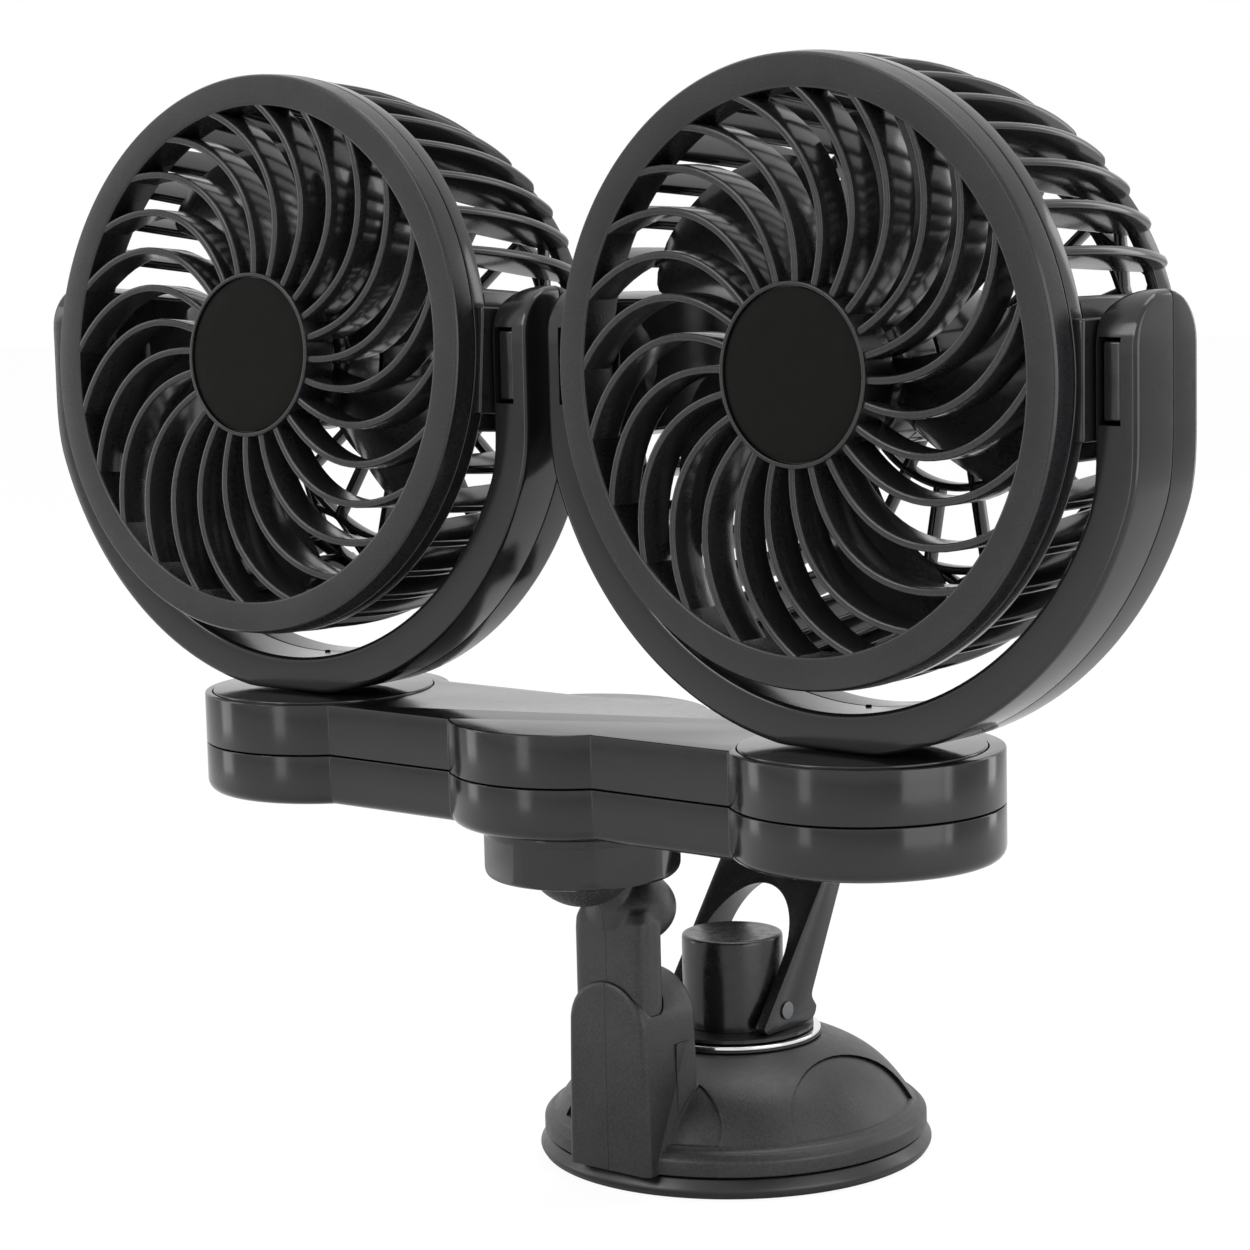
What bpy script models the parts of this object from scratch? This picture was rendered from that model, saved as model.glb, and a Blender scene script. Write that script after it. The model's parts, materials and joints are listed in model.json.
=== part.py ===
"""Dual head dashboard fan: two tilting fan heads on a bar, a ball-jointed arm and a lever suction base."""

import math

import bmesh
import bpy
from mathutils import Matrix

# Driving dimensions of the whole object, in metres. The origin is the centre of the cup's underside,
# the heads blow towards -Y and +X is to the right of someone who looks at their fronts.
YOKES_PASS_GAP = 0.0026
BALL_RISE = 0.0285
HEAD_AHEAD = 0.0013
PAN_DEG = {"left": 1.1, "right": -2.5}
TILT_DEG = {"left": -4.9, "right": -0.5}
SEAT_GAP = 0.0003
OVERRUN = 0.004
WELD = 0.000005

# Fan head, front ring and vanes. Heights are measured forwards from the tilt axis.
RING_R = 0.0578
RING_WIDTH = 0.0068
RING_BEVEL = 0.0008
RING_FACE_H = 0.0190
RING_SOFT = 0.0004
RING_EDGE_DROP = 0.0006
RING_DEPTH = 0.0050
SKIRT_WALL = 0.0018
SKIRT_LENGTH = 0.0034
VANE_COUNT = 24
VANE_THICK = 0.0015
VANE_SET_BACK = 0.0002
VANE_DEPTH = 0.0078
VANE_SINK = 0.0008
VANE_SWEEP_DEG = 32.0
VANE_SWEEP_POWER = 1.9
VANE_POINTS = 3

# Hub of the front grille and its bare badge disc
HUB_R = 0.0169
HUB_PROUD = 0.0003
HUB_DEPTH = 0.0086
HUB_RIM = 0.0008
BADGE_RECESS = 0.0013
BADGE_THICK = 0.0008
BADGE_SOFT = 0.0002

# Ribbed rear housing
BAND_WIDTH = 0.0041
BAND_TAPER = 0.0002
RIB_COUNT = 40
RIB_THICK = 0.0018
RIB_DRAW_IN = 0.0081
RIB_FRONT_DEPTH = 0.0061
RIB_REAR_DEPTH = 0.0035
HEAD_REAR_H = -0.0333
REAR_RING_INSET = 0.0011
REAR_RING_THICK = 0.0043
RIB_CURVE_POWER = 2.5
RIB_POINTS = 2
LUG_HALF = 0.0105
LUG_PROUD = 0.0013
LUG_DEPTH = 0.0091
LUG_REAR_H = -0.0090
LUG_SET_BACK = 0.0006

# Rear spider and motor cup
INNER_STRUTS = 9
STRUT_THICK = 0.0016
SPIDER_THICK = 0.0030
SPIDER_RAISED = 0.0006
SPIDER_RING_SHARES = (0.316, 0.788)
SPIDER_RING_WIDTH = 0.0016
SPIDER_INSET = 0.0010
MOTOR_R = 0.0120
MOTOR_LENGTH = 0.0240
MOTOR_BOSS_R = 0.0030
MOTOR_BOSS_H = 0.0012
CUP_WALL = 0.0020
CUP_FLOOR = 0.0020
SHAFT_R = 0.0010
SHAFT_RUN = 0.0004
SHAFT_IN_MOTOR = 0.0100
SHAFT_IN_HUB = 0.0080

# Impeller
BLADE_COUNT = 5
BLADE_TIP_GAP = 0.0040
BLADE_ROOT_SINK = 0.0015
BLADE_ROOT_CHORD = 0.0150
BLADE_TIP_CHORD = 0.0330
BLADE_ROUND_SHARE = 0.50
BLADE_TIP_FLAT_SHARE = 0.90
BLADE_THICK = 0.0014
BLADE_ROOT_PITCH_DEG = 38.0
BLADE_TIP_PITCH_DEG = 22.0
BLADE_SWEEP_DEG = 16.0
IMPELLER_HUB_R = 0.0150
IMPELLER_CLEAR = 0.0019
IMPELLER_NOSE_H = 0.0038
IMPELLER_RUN = 0.0008
IMPELLER_NOSE_R = 0.0090
BLADE_MID_H = 0.0018

# Yoke, seen from the front round the tilt axis
YOKE_SWING_CLEAR = 0.0033
YOKE_SIDE_CLEAR = 0.0004
YOKE_BEND_WALL = 0.0079
YOKE_ARM_WALL = 0.0088
YOKE_TOP = 0.0152
YOKE_FOOT_CUT = 0.0008
YOKE_FRONT_H = 0.0110
YOKE_REAR_H = -0.0080
YOKE_INNER_CORNER = 0.0058
YOKE_SEAM = 0.0003
PIVOT_WALL = 0.0008
PIVOT_DISC_R = 0.0064
PIVOT_DISC_THICK = 0.0040
PIVOT_SHANK_R = 0.0030
PIVOT_SHANK_LENGTH = 0.0060
WINDOW_HALF = 0.0075
YOKE_SCREW_DEG = 30.0
SCREW_HEAD_R = 0.0026
SCREW_HEAD_H = 0.0016
SCREW_SHANK_R = 0.0013
SCREW_BITE = 0.0045
SCREW_CLEAR = 0.0003

# Bar with its two shells
BAR_END_RIM = 0.0027
BAR_MIDDLE_R = 0.0263
BAR_WAIST = 0.0186
LOWER_SHELL_H = 0.0104
UPPER_SHELL_H = 0.0105
BAR_LIFT = 0.0061
BAR_TOP_SOFT = 0.0005
BAR_BOTTOM_SOFT = 0.0026
TURNTABLE_R = 0.0234
TURNTABLE_THICK = 0.0020
TURNTABLE_SUNK = 0.0016
TURNTABLE_SOFT = 0.0004
TURNTABLE_WEB = 0.0020
SPIGOT_R = 0.0080
RETAINER_R = 0.0115
RETAINER_THICK = 0.0020
RETAINER_PLUG_R = 0.0040
RETAINER_PLUG_H = 0.0030
BAR_SCREW_X = 0.0420
BAR_SCREW_Y = 0.0110

# Ball joint and collar nut
BALL_R = 0.0120
SEAT_WALL = 0.0011
CAP_EDGE_H = 0.0032
COLLET_LIP_H = -0.0027
COLLET_TOP_H = 0.0088
SOCKET_WALL = 0.0018
CAP_ROOM = 0.0016
SOCKET_MOUTH_H = -0.0019
NUT_WALL = 0.0026
NUT_FLAT_CUT = 0.0011
NUT_FLATS = 8
NUT_BAR_GAP = 0.0007
NUT_COLLAR_THICK = 0.0018
NUT_BOTTOM_H = -0.0050
NUT_LIP_H = -0.0033
NUT_SHOULDER_H = 0.0002
NUT_MOUTH_FLARE = 0.0029
NUT_LIP_CLEAR = 0.0001
NUT_THREAD_GAP = 0.0003

# Arm: ball, stem, knob and the neck that plugs into the tower
STEM_R = 0.0046
STEM_DEG = 40.0
STEM_LENGTH = 0.0200
KNOB_BACK = 0.0148
KNOB_DROP = 0.0150
KNOB_HALF_X = 0.0094
KNOB_HALF_Y = 0.0094
KNOB_HALF_Z = 0.0077
NECK_SET_BACK = 0.0008
NECK_DEPTH = 0.0084
NECK_SLOT_WALL = 0.0007
NECK_CORNER = 0.0028
NECK_PLUG = 0.0150

# Base housing, tower and suction cup
CUP_R = 0.0422
CUP_FOOT_DRAW_IN = 0.0010
CUP_WIDEST_Z = 0.0016
CUP_TOP_DRAW_IN = 0.0017
CUP_TOP_Z = 0.0041
CUP_LIP = 0.0012
RIM_THICK = 0.0032
RIM_SOFT = 0.0014
DOME_FOOT_DRAW_IN = 0.0026
DOME_FOOT_STEP = 0.0005
DOME_TOP_STEP = 0.0010
DOME_RISE = 0.0146
DOME_BULGE = 0.0017
DOME_POINTS = 3
POST_R = 0.0108
POST_HEAD_ROOM = 0.0030
POST_SOFT = 0.0006
POST_RUN = 0.0004
POST_FLANGE_R = 0.0150
POST_FLANGE_H = 0.0030
POST_LIFT = 0.0053
PANEL_DEPTH = 0.0010
PANEL_HALF = 0.0205
PANEL_FOOT_EDGE = 0.0005
PANEL_TOP_EDGE = 0.0019
BRIGHT_RING_R = 0.0186
BRIGHT_RING_THICK = 0.0013
WASHER_DRAW_IN = 0.0014
WASHER_THICK = 0.0007
TOWER_FRONT = 0.0055
TOWER_PROUD = 0.0019
TOWER_DEPTH = 0.0178
TOWER_HALF_TOP = 0.0100
TOWER_HALF_FOOT = 0.0108
TOWER_TOP_Z = 0.0444

# Lever and its pin
PIN_RISE = 0.0040
PIN_R = 0.0015
PIN_CLEAR = 0.0003
LEVER_LEG = 0.0025
LEVER_SIDE_CLEAR = 0.0010
LEVER_HEEL_SOFT = 0.0030
LEVER_HEEL_BACK = 0.0106
LEVER_TOE_FRONT = 0.0080
LEVER_TOE_SOFT = 0.0012
LEVER_BACK_Y = 0.0088
LEVER_BACK_RISE = 0.0054
LEVER_TOP_FRONT_Y = 0.0226
LEVER_TOP_RISE = 0.0416
LEVER_TOP_THICK = 0.0035
LEVER_TOP_FALL = 0.0010
ARCH_SPRING_RISE = 0.0134
ARCH_RISE = 0.0142

# Faces round each turned form
RING_STEPS = 40
BASE_STEPS = 32
MID_STEPS = 24
SMALL_STEPS = 12
TINY_STEPS = 8
SMOOTH_DEG = 35.0

# Base, post and lever, worked out from the values above
HOUSING_R = CUP_R - CUP_LIP
HOUSING_Z = CUP_TOP_Z + SEAT_GAP
RIM_Z = HOUSING_Z + RIM_THICK
RIM_TOP_R = HOUSING_R - RIM_SOFT
RIM_TOP_Z = RIM_Z + RIM_SOFT
DOME_FOOT_R = HOUSING_R - DOME_FOOT_DRAW_IN
DOME_FOOT_Z = RIM_TOP_Z + DOME_FOOT_STEP
DOME_TOP_R = BRIGHT_RING_R + DOME_TOP_STEP
DOME_TOP_Z = DOME_FOOT_Z + DOME_RISE
PANEL_FOOT_Z = DOME_FOOT_Z + PANEL_FOOT_EDGE
PANEL_TOP_Z = DOME_TOP_Z - PANEL_TOP_EDGE
WASHER_R = BRIGHT_RING_R - WASHER_DRAW_IN
WASHER_Z = DOME_TOP_Z + SEAT_GAP + BRIGHT_RING_THICK + SEAT_GAP
LEVER_HEEL_Z = WASHER_Z + WASHER_THICK + SEAT_GAP
LEVER_BACK_Z = LEVER_HEEL_Z + LEVER_BACK_RISE
LEVER_TOP_FRONT_Z = LEVER_HEEL_Z + LEVER_TOP_RISE
LEVER_TOP_BACK_Y = LEVER_TOP_FRONT_Y + LEVER_TOP_THICK
LEVER_TOP_BACK_Z = LEVER_TOP_FRONT_Z - LEVER_TOP_FALL
ARCH_SPRING_Z = LEVER_HEEL_Z + ARCH_SPRING_RISE
ARCH_TOP_Z = ARCH_SPRING_Z + ARCH_RISE
PIN_Z = LEVER_HEEL_Z + PIN_RISE
POST_TOP_Z = ARCH_TOP_Z - POST_LIFT - POST_HEAD_ROOM
LEVER_INNER = POST_R + LEVER_SIDE_CLEAR
LEVER_HALF = LEVER_INNER + LEVER_LEG

# Arm and ball joint, worked out
BALL_FORWARD = HOUSING_R + TOWER_PROUD + TOWER_FRONT
BALL_Z = TOWER_TOP_Z + BALL_RISE
NECK_FRONT = TOWER_FRONT + NECK_SET_BACK
NECK_HALF = TOWER_HALF_TOP - NECK_SLOT_WALL
NECK_FOOT_Z = TOWER_TOP_Z - NECK_PLUG
SOCKET_R = BALL_R + SEAT_GAP + SEAT_WALL + SEAT_GAP + SEAT_WALL + SEAT_GAP
SOCKET_CEILING_H = BALL_R + SEAT_GAP + SEAT_WALL + CAP_ROOM
NUT_R = SOCKET_R + SOCKET_WALL + NUT_THREAD_GAP + NUT_WALL
NUT_FLAT_R = NUT_R - NUT_FLAT_CUT
NUT_TOP_H = BAR_LIFT - NUT_BAR_GAP
NUT_COLLAR_H = NUT_TOP_H - NUT_COLLAR_THICK
NUT_LIP_R = BALL_R + NUT_LIP_CLEAR
NUT_MOUTH_R = NUT_LIP_R + NUT_MOUTH_FLARE

# Fan head, worked out
RING_INNER_R = RING_R - RING_WIDTH
RING_FACE_R = RING_R - RING_BEVEL
RING_EDGE_H = RING_FACE_H - RING_EDGE_DROP
HEAD_SEAM_H = RING_FACE_H - RING_DEPTH
SKIRT_H = HEAD_SEAM_H - SKIRT_LENGTH
VANE_FRONT_H = RING_FACE_H - VANE_SET_BACK
HUB_FRONT_H = RING_FACE_H + HUB_PROUD
BAND_REAR_H = HEAD_SEAM_H - BAND_WIDTH
BAND_REAR_R = RING_R - BAND_TAPER
BAND_INNER_R = RING_INNER_R + SKIRT_WALL + SEAT_GAP
RIB_REAR_R = RING_R - RIB_DRAW_IN
RIB_INNER_FRONT_R = BAND_REAR_R - RIB_FRONT_DEPTH
RIB_INNER_REAR_R = RIB_REAR_R - RIB_REAR_DEPTH
REAR_RING_R = RIB_REAR_R - REAR_RING_INSET
REAR_RING_H = HEAD_REAR_H + REAR_RING_THICK
SPIDER_REAR_H = HEAD_REAR_H + SPIDER_RAISED
LUG_R = RING_R + LUG_PROUD
LUG_INNER = LUG_R - LUG_DEPTH
LUG_FRONT_H = HEAD_SEAM_H - LUG_SET_BACK
OUTER_STRUTS = 2 * INNER_STRUTS
MOTOR_CUP_R = MOTOR_R + SEAT_GAP + CUP_WALL
MOTOR_REAR_H = HEAD_REAR_H + CUP_FLOOR + SEAT_GAP
MOTOR_FRONT_H = MOTOR_REAR_H + MOTOR_LENGTH
IMPELLER_REAR_H = MOTOR_FRONT_H + MOTOR_BOSS_H + IMPELLER_RUN
IMPELLER_FRONT_H = HUB_FRONT_H - HUB_DEPTH - IMPELLER_CLEAR
IMPELLER_SHOULDER_H = IMPELLER_FRONT_H - IMPELLER_NOSE_H
BLADE_ROOT_R = IMPELLER_HUB_R - BLADE_ROOT_SINK
BLADE_TIP_R = RING_INNER_R - BLADE_TIP_GAP

# Yoke and bar, worked out
YOKE_INNER_R = LUG_R + YOKE_SWING_CLEAR
YOKE_OUTER_R = YOKE_INNER_R + YOKE_BEND_WALL
YOKE_INNER_X = LUG_R + YOKE_SIDE_CLEAR
YOKE_OUTER_X = YOKE_INNER_X + YOKE_ARM_WALL
YOKE_DROP = YOKE_OUTER_R - YOKE_FOOT_CUT
PIVOT_X = YOKE_INNER_X + PIVOT_WALL + SEAT_GAP
WINDOW_OUTER_X = PIVOT_X + PIVOT_DISC_THICK + SEAT_GAP
HALF_SPACING = math.hypot(YOKE_OUTER_X, YOKE_FRONT_H) + YOKES_PASS_GAP / 2
BAR_END_R = TURNTABLE_R + BAR_END_RIM
BAR_BOTTOM_Z = BALL_Z + BAR_LIFT
BAR_SEAM_Z = BAR_BOTTOM_Z + LOWER_SHELL_H
UPPER_BOTTOM_Z = BAR_SEAM_Z + SEAT_GAP
BAR_TOP_Z = UPPER_BOTTOM_Z + UPPER_SHELL_H
RECESS_Z = BAR_TOP_Z - TURNTABLE_SUNK - SEAT_GAP
TURNTABLE_Z = RECESS_Z + SEAT_GAP
TURNTABLE_TOP_Z = TURNTABLE_Z + TURNTABLE_THICK
HEAD_Z = TURNTABLE_TOP_Z + SEAT_GAP + YOKE_DROP
UP = 0.0


def clear_scene():
    """Removes every object, so that the model stands alone."""
    for obj in list(bpy.data.objects):
        bpy.data.objects.remove(obj, do_unlink=True)


def new_collection(name):
    group = bpy.data.collections.new(name)
    bpy.context.scene.collection.children.link(group)
    return group


def new_material(name, colour, roughness, metallic):
    material = bpy.data.materials.new(name)
    material.use_nodes = True
    shader = material.node_tree.nodes["Principled BSDF"]
    shader.inputs["Base Color"].default_value = (*colour, 1.0)
    shader.inputs["Roughness"].default_value = roughness
    shader.inputs["Metallic"].default_value = metallic
    return material


def new_object(name, mesh):
    obj = bpy.data.objects.new(name, mesh)
    bpy.context.scene.collection.objects.link(obj)
    return obj


def from_bmesh(name, form):
    mesh = bpy.data.meshes.new(name)
    bmesh.ops.recalc_face_normals(form, faces=form.faces)
    form.to_mesh(mesh)
    form.free()
    return new_object(name, mesh)


def baked(obj):
    """Replaces an object's data by the mesh that its modifiers or its curve make."""
    bpy.context.view_layer.update()
    graph = bpy.context.evaluated_depsgraph_get()
    mesh = bpy.data.meshes.new_from_object(obj.evaluated_get(graph))
    name = obj.name
    place = obj.matrix_world.copy()
    bpy.data.objects.remove(obj, do_unlink=True)
    result = new_object(name, mesh)
    result.matrix_world = place
    return result


def welded(obj):
    form = bmesh.new()
    form.from_mesh(obj.data)
    bmesh.ops.remove_doubles(form, verts=form.verts, dist=WELD)
    bmesh.ops.recalc_face_normals(form, faces=form.faces)
    form.to_mesh(obj.data)
    form.free()
    return obj


def moved(obj, matrix):
    """Moves the mesh itself, so that the object's origin stays at the zero point."""
    obj.data.transform(matrix)
    return obj


def turned(name, profile, steps, ring=False):
    """Turns a profile of (radius, height) points round Z. Its outer side runs downwards."""
    mesh = bpy.data.meshes.new(name)
    points = [(radius, UP, height) for radius, height in profile]
    edges = [(index, index + 1) for index in range(len(points) - 1)]
    if ring:
        edges.append((len(points) - 1, 0))
    mesh.from_pydata(points, edges, [])
    obj = new_object(name, mesh)
    screw = obj.modifiers.new("Turn", "SCREW")
    screw.steps = steps
    screw.render_steps = steps
    screw.use_merge_vertices = True
    screw.merge_threshold = WELD
    screw.use_smooth_shade = False
    return welded(baked(obj))


def extruded(name, outline, low, high):
    """Fills a flat outline of (x, y) points and gives it a height from low to high."""
    curve = bpy.data.curves.new(name, "CURVE")
    curve.dimensions = "2D"
    curve.fill_mode = "BOTH"
    curve.extrude = (high - low) / 2
    spline = curve.splines.new("POLY")
    spline.points.add(len(outline) - 1)
    for point, (x, y) in zip(spline.points, outline):
        point.co = (x, y, UP, 1.0)
    spline.use_cyclic_u = True
    obj = welded(baked(new_object(name, curve)))
    return moved(obj, Matrix.Translation((0, 0, (low + high) / 2)))


def stacked(name, sections):
    """Lofts outlines with equal numbers of points: each section is an (outline, height) pair."""
    form = bmesh.new()
    rings = [[form.verts.new((x, y, height)) for x, y in outline] for outline, height in sections]
    for lower, upper in zip(rings, rings[1:]):
        count = len(lower)
        for index in range(count):
            after = (index + 1) % count
            form.faces.new((lower[index], lower[after], upper[after], upper[index]))
    form.faces.new(list(reversed(rings[0])))
    form.faces.new(rings[-1])
    return from_bmesh(name, form)


def box(name, low, high):
    form = bmesh.new()
    bmesh.ops.create_cube(form, size=1.0)
    size = [b - a for a, b in zip(low, high)]
    centre = [(a + b) / 2 for a, b in zip(low, high)]
    bmesh.ops.scale(form, vec=size, verts=form.verts)
    bmesh.ops.translate(form, vec=centre, verts=form.verts)
    return from_bmesh(name, form)


def rod(name, radius, low, high, steps):
    """A cylinder on the Z axis from low to high."""
    form = bmesh.new()
    bmesh.ops.create_cone(
        form, cap_ends=True, segments=steps, radius1=radius, radius2=radius, depth=high - low
    )
    bmesh.ops.translate(form, vec=(0, 0, (low + high) / 2), verts=form.verts)
    return from_bmesh(name, form)


def ball(name, radius, rounds, rings):
    form = bmesh.new()
    bmesh.ops.create_uvsphere(form, u_segments=rounds, v_segments=rings, radius=radius)
    return from_bmesh(name, form)


def combined(target, tool, operation):
    """Adds, cuts or intersects a tool with the exact solver and removes the tool."""
    modifier = target.modifiers.new(operation.title(), "BOOLEAN")
    modifier.operation = operation
    modifier.solver = "EXACT"
    modifier.object = tool
    result = welded(baked(target))
    bpy.data.objects.remove(tool, do_unlink=True)
    return result


def merged(name, objects):
    """Gathers separate forms, which don't touch each other, in one mesh."""
    form = bmesh.new()
    for obj in objects:
        place = obj.matrix_world.copy()
        copy = obj.data.copy()
        copy.transform(place)
        form.from_mesh(copy)
        bpy.data.meshes.remove(copy)
        bpy.data.objects.remove(obj, do_unlink=True)
    return from_bmesh(name, form)


def copies_round(name, source, count, skipped=()):
    """Repeats a form round Z, leaving out the places whose numbers are skipped."""
    forms = []
    for index in range(count):
        if index in skipped:
            continue
        copy = new_object(f"{name}_{index}", source.data.copy())
        moved(copy, Matrix.Rotation(2 * math.pi * index / count, 4, "Z"))
        forms.append(copy)
    bpy.data.objects.remove(source, do_unlink=True)
    return merged(name, forms)


def arc(radius, start_deg, end_deg, count, centre=(0, 0)):
    """Points of an arc, both ends included."""
    points = []
    for index in range(count + 1):
        angle = math.radians(start_deg + (end_deg - start_deg) * index / count)
        points.append((centre[0] + radius * math.cos(angle), centre[1] + radius * math.sin(angle)))
    return points


def sphere_arc(radius, low_h, high_h, count):
    """Points (radius, height) on a sphere's outline from one height to another."""
    start = math.asin(max(-1.0, min(1.0, low_h / radius)))
    end = math.asin(max(-1.0, min(1.0, high_h / radius)))
    points = []
    for index in range(count + 1):
        angle = start + (end - start) * index / count
        points.append((max(radius * math.cos(angle), 0.0), radius * math.sin(angle)))
    return points


def wedge(name, profile, pitch_angle, wall):
    """A cutter for the space between two radial walls: its (radius, height) profile widens outwards."""
    form = bmesh.new()
    sides = []
    for sign in (-1, 1):
        side = []
        for radius, height in profile:
            half = radius * math.tan(pitch_angle / 2) - wall / 2 / math.cos(pitch_angle / 2)
            side.append(form.verts.new((radius, sign * half, height)))
        sides.append(side)
    count = len(profile)
    for index in range(count):
        after = (index + 1) % count
        form.faces.new((sides[0][index], sides[0][after], sides[1][after], sides[1][index]))
    form.faces.new(list(reversed(sides[0])))
    form.faces.new(sides[1])
    return from_bmesh(name, form)


# Fan head pieces, modelled face up: X is right, Y is up and Z is forwards from the tilt axis


def vane_outline():
    """A swirl vane seen from the front, swept anticlockwise from hub to ring."""
    inner = HUB_R - HUB_RIM / 2
    outer = RING_INNER_R + VANE_SINK
    path = []
    for index in range(VANE_POINTS + 1):
        part = index / VANE_POINTS
        radius = inner + (outer - inner) * part
        angle = math.radians(90.0 - VANE_SWEEP_DEG + VANE_SWEEP_DEG * part**VANE_SWEEP_POWER)
        path.append((radius * math.cos(angle), radius * math.sin(angle)))
    left = []
    right = []
    for index, (x, y) in enumerate(path):
        before = path[max(index - 1, 0)]
        after = path[min(index + 1, VANE_POINTS)]
        along = math.atan2(after[1] - before[1], after[0] - before[0])
        dx = -math.sin(along) * VANE_THICK / 2
        dy = math.cos(along) * VANE_THICK / 2
        left.append((x + dx, y + dy))
        right.append((x - dx, y - dy))
    return left + right[::-1]


def front_grille():
    """Front ring with its skirt, the swirl vanes and the hub, as one moulding."""
    skirt_r = RING_INNER_R + SKIRT_WALL
    edge_h = HEAD_SEAM_H + SEAT_GAP / 2
    ring = turned(
        "front_grille",
        [
            (RING_INNER_R, RING_FACE_H),
            (RING_FACE_R, RING_FACE_H),
            (RING_R - RING_SOFT, RING_EDGE_H),
            (RING_R, edge_h),
            (skirt_r, edge_h),
            (skirt_r, SKIRT_H),
            (RING_INNER_R, SKIRT_H),
        ],
        RING_STEPS,
        ring=True,
    )
    vane = extruded("vane", vane_outline(), VANE_FRONT_H - VANE_DEPTH, VANE_FRONT_H)
    vanes = copies_round("vanes", vane, VANE_COUNT)
    hub_floor = HUB_FRONT_H - BADGE_RECESS
    hub = turned(
        "hub",
        [
            (0, hub_floor),
            (HUB_R - HUB_RIM, hub_floor),
            (HUB_R - HUB_RIM, HUB_FRONT_H),
            (HUB_R, HUB_FRONT_H),
            (HUB_R, HUB_FRONT_H - HUB_DEPTH),
            (0, HUB_FRONT_H - HUB_DEPTH),
        ],
        MID_STEPS,
    )
    return combined(combined(ring, vanes, "UNION"), hub, "UNION")


def hub_badge():
    """The bare disc set in the hub."""
    radius = HUB_R - HUB_RIM - SEAT_GAP
    low = HUB_FRONT_H - BADGE_RECESS + SEAT_GAP
    high = low + BADGE_THICK
    return turned(
        "hub_badge",
        [(0, high), (radius - BADGE_SOFT, high), (radius, high - BADGE_SOFT), (radius, low), (0, low)],
        MID_STEPS,
    )


def rib_curve():
    """Outer side outline of the ribs from their front to their tips, bent more towards the tips."""
    points = []
    for index in range(RIB_POINTS + 1):
        part = index / RIB_POINTS
        radius = BAND_REAR_R - (BAND_REAR_R - RIB_REAR_R) * part**RIB_CURVE_POWER
        points.append((radius, BAND_REAR_H + (HEAD_REAR_H - BAND_REAR_H) * part))
    return points


def basket_shell():
    """Turned wall of the basket before its windows are cut."""
    edge_h = HEAD_SEAM_H - SEAT_GAP / 2
    profile = [(RING_R, edge_h)] + rib_curve()
    profile += [(RIB_INNER_REAR_R, HEAD_REAR_H), (RIB_INNER_REAR_R, REAR_RING_H)]
    profile += [(RIB_INNER_FRONT_R, BAND_REAR_H), (BAND_INNER_R, BAND_REAR_H), (BAND_INNER_R, edge_h)]
    return turned("rear_housing", profile, RIB_COUNT, ring=True)


def basket_windows():
    """Cutters for the gaps between the ribs, which stay closed at the two tilt lugs."""
    far = RING_R + OVERRUN
    near = RIB_INNER_REAR_R - OVERRUN
    profile = [
        (far, BAND_REAR_H),
        (far, HEAD_REAR_H - OVERRUN),
        (REAR_RING_R, HEAD_REAR_H - OVERRUN),
        (REAR_RING_R, REAR_RING_H),
        (near, REAR_RING_H),
        (near, BAND_REAR_H),
    ]
    window = wedge("window", profile, 2 * math.pi / RIB_COUNT, RIB_THICK)
    half_turn = RIB_COUNT // 2
    at_lugs = (0, 1, RIB_COUNT - 1, half_turn - 1, half_turn, half_turn + 1)
    return copies_round("windows", window, RIB_COUNT, at_lugs)


def spider():
    """Flat rear guard: rings and radial struts that carry the motor cup."""
    top = SPIDER_REAR_H + SPIDER_THICK
    inner = MOTOR_CUP_R - SPIDER_INSET
    outer = RIB_INNER_REAR_R + SPIDER_INSET
    plate = turned(
        "spider",
        [(outer, top), (outer, SPIDER_REAR_H), (inner, SPIDER_REAR_H), (inner, top)],
        OUTER_STRUTS,
        ring=True,
    )
    low_h = SPIDER_REAR_H - OVERRUN
    high_h = top + OVERRUN
    half_ring = SPIDER_RING_WIDTH / 2
    first_r, second_r = [inner + (outer - inner) * share for share in SPIDER_RING_SHARES]
    zones = (
        (inner + SPIDER_INSET / 2, first_r - half_ring, INNER_STRUTS),
        (first_r + half_ring, second_r - half_ring, OUTER_STRUTS),
        (second_r + half_ring, outer - SPIDER_INSET / 2, OUTER_STRUTS),
    )
    gaps = []
    for number, (start, end, count) in enumerate(zones):
        profile = [(end, high_h), (end, low_h), (start, low_h), (start, high_h)]
        pitch = 2 * math.pi / count
        gap = wedge(f"gap_{number}", profile, pitch, STRUT_THICK)
        moved(gap, Matrix.Rotation(pitch / 2, 4, "Z"))
        gaps.append(copies_round(f"gaps_{number}", gap, count))
    return combined(plate, merged("gaps", gaps), "DIFFERENCE")


def motor_cup():
    """Round cup at the middle of the spider, open to the front."""
    radius = MOTOR_CUP_R
    bore = radius - CUP_WALL
    floor = HEAD_REAR_H + CUP_FLOOR
    return turned(
        "motor_cup",
        [
            (0, floor),
            (bore, floor),
            (bore, MOTOR_FRONT_H),
            (radius, MOTOR_FRONT_H),
            (radius, HEAD_REAR_H),
            (0, HEAD_REAR_H),
        ],
        OUTER_STRUTS,
    )


def tilt_lug(sign):
    """Solid pad on the basket's side, stepped behind the front ring's skirt."""
    step = (BAND_INNER_R + BAND_REAR_R) / 2
    outline = [
        (sign * LUG_R, LUG_REAR_H),
        (sign * LUG_R, LUG_FRONT_H),
        (sign * step, LUG_FRONT_H),
        (sign * step, BAND_REAR_H - SEAT_GAP),
        (sign * LUG_INNER, BAND_REAR_H - SEAT_GAP),
        (sign * LUG_INNER, LUG_REAR_H),
    ]
    pad = extruded("lug", outline, -LUG_HALF, LUG_HALF)
    return moved(pad, Matrix.Rotation(math.radians(90.0), 4, "X"))


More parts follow.
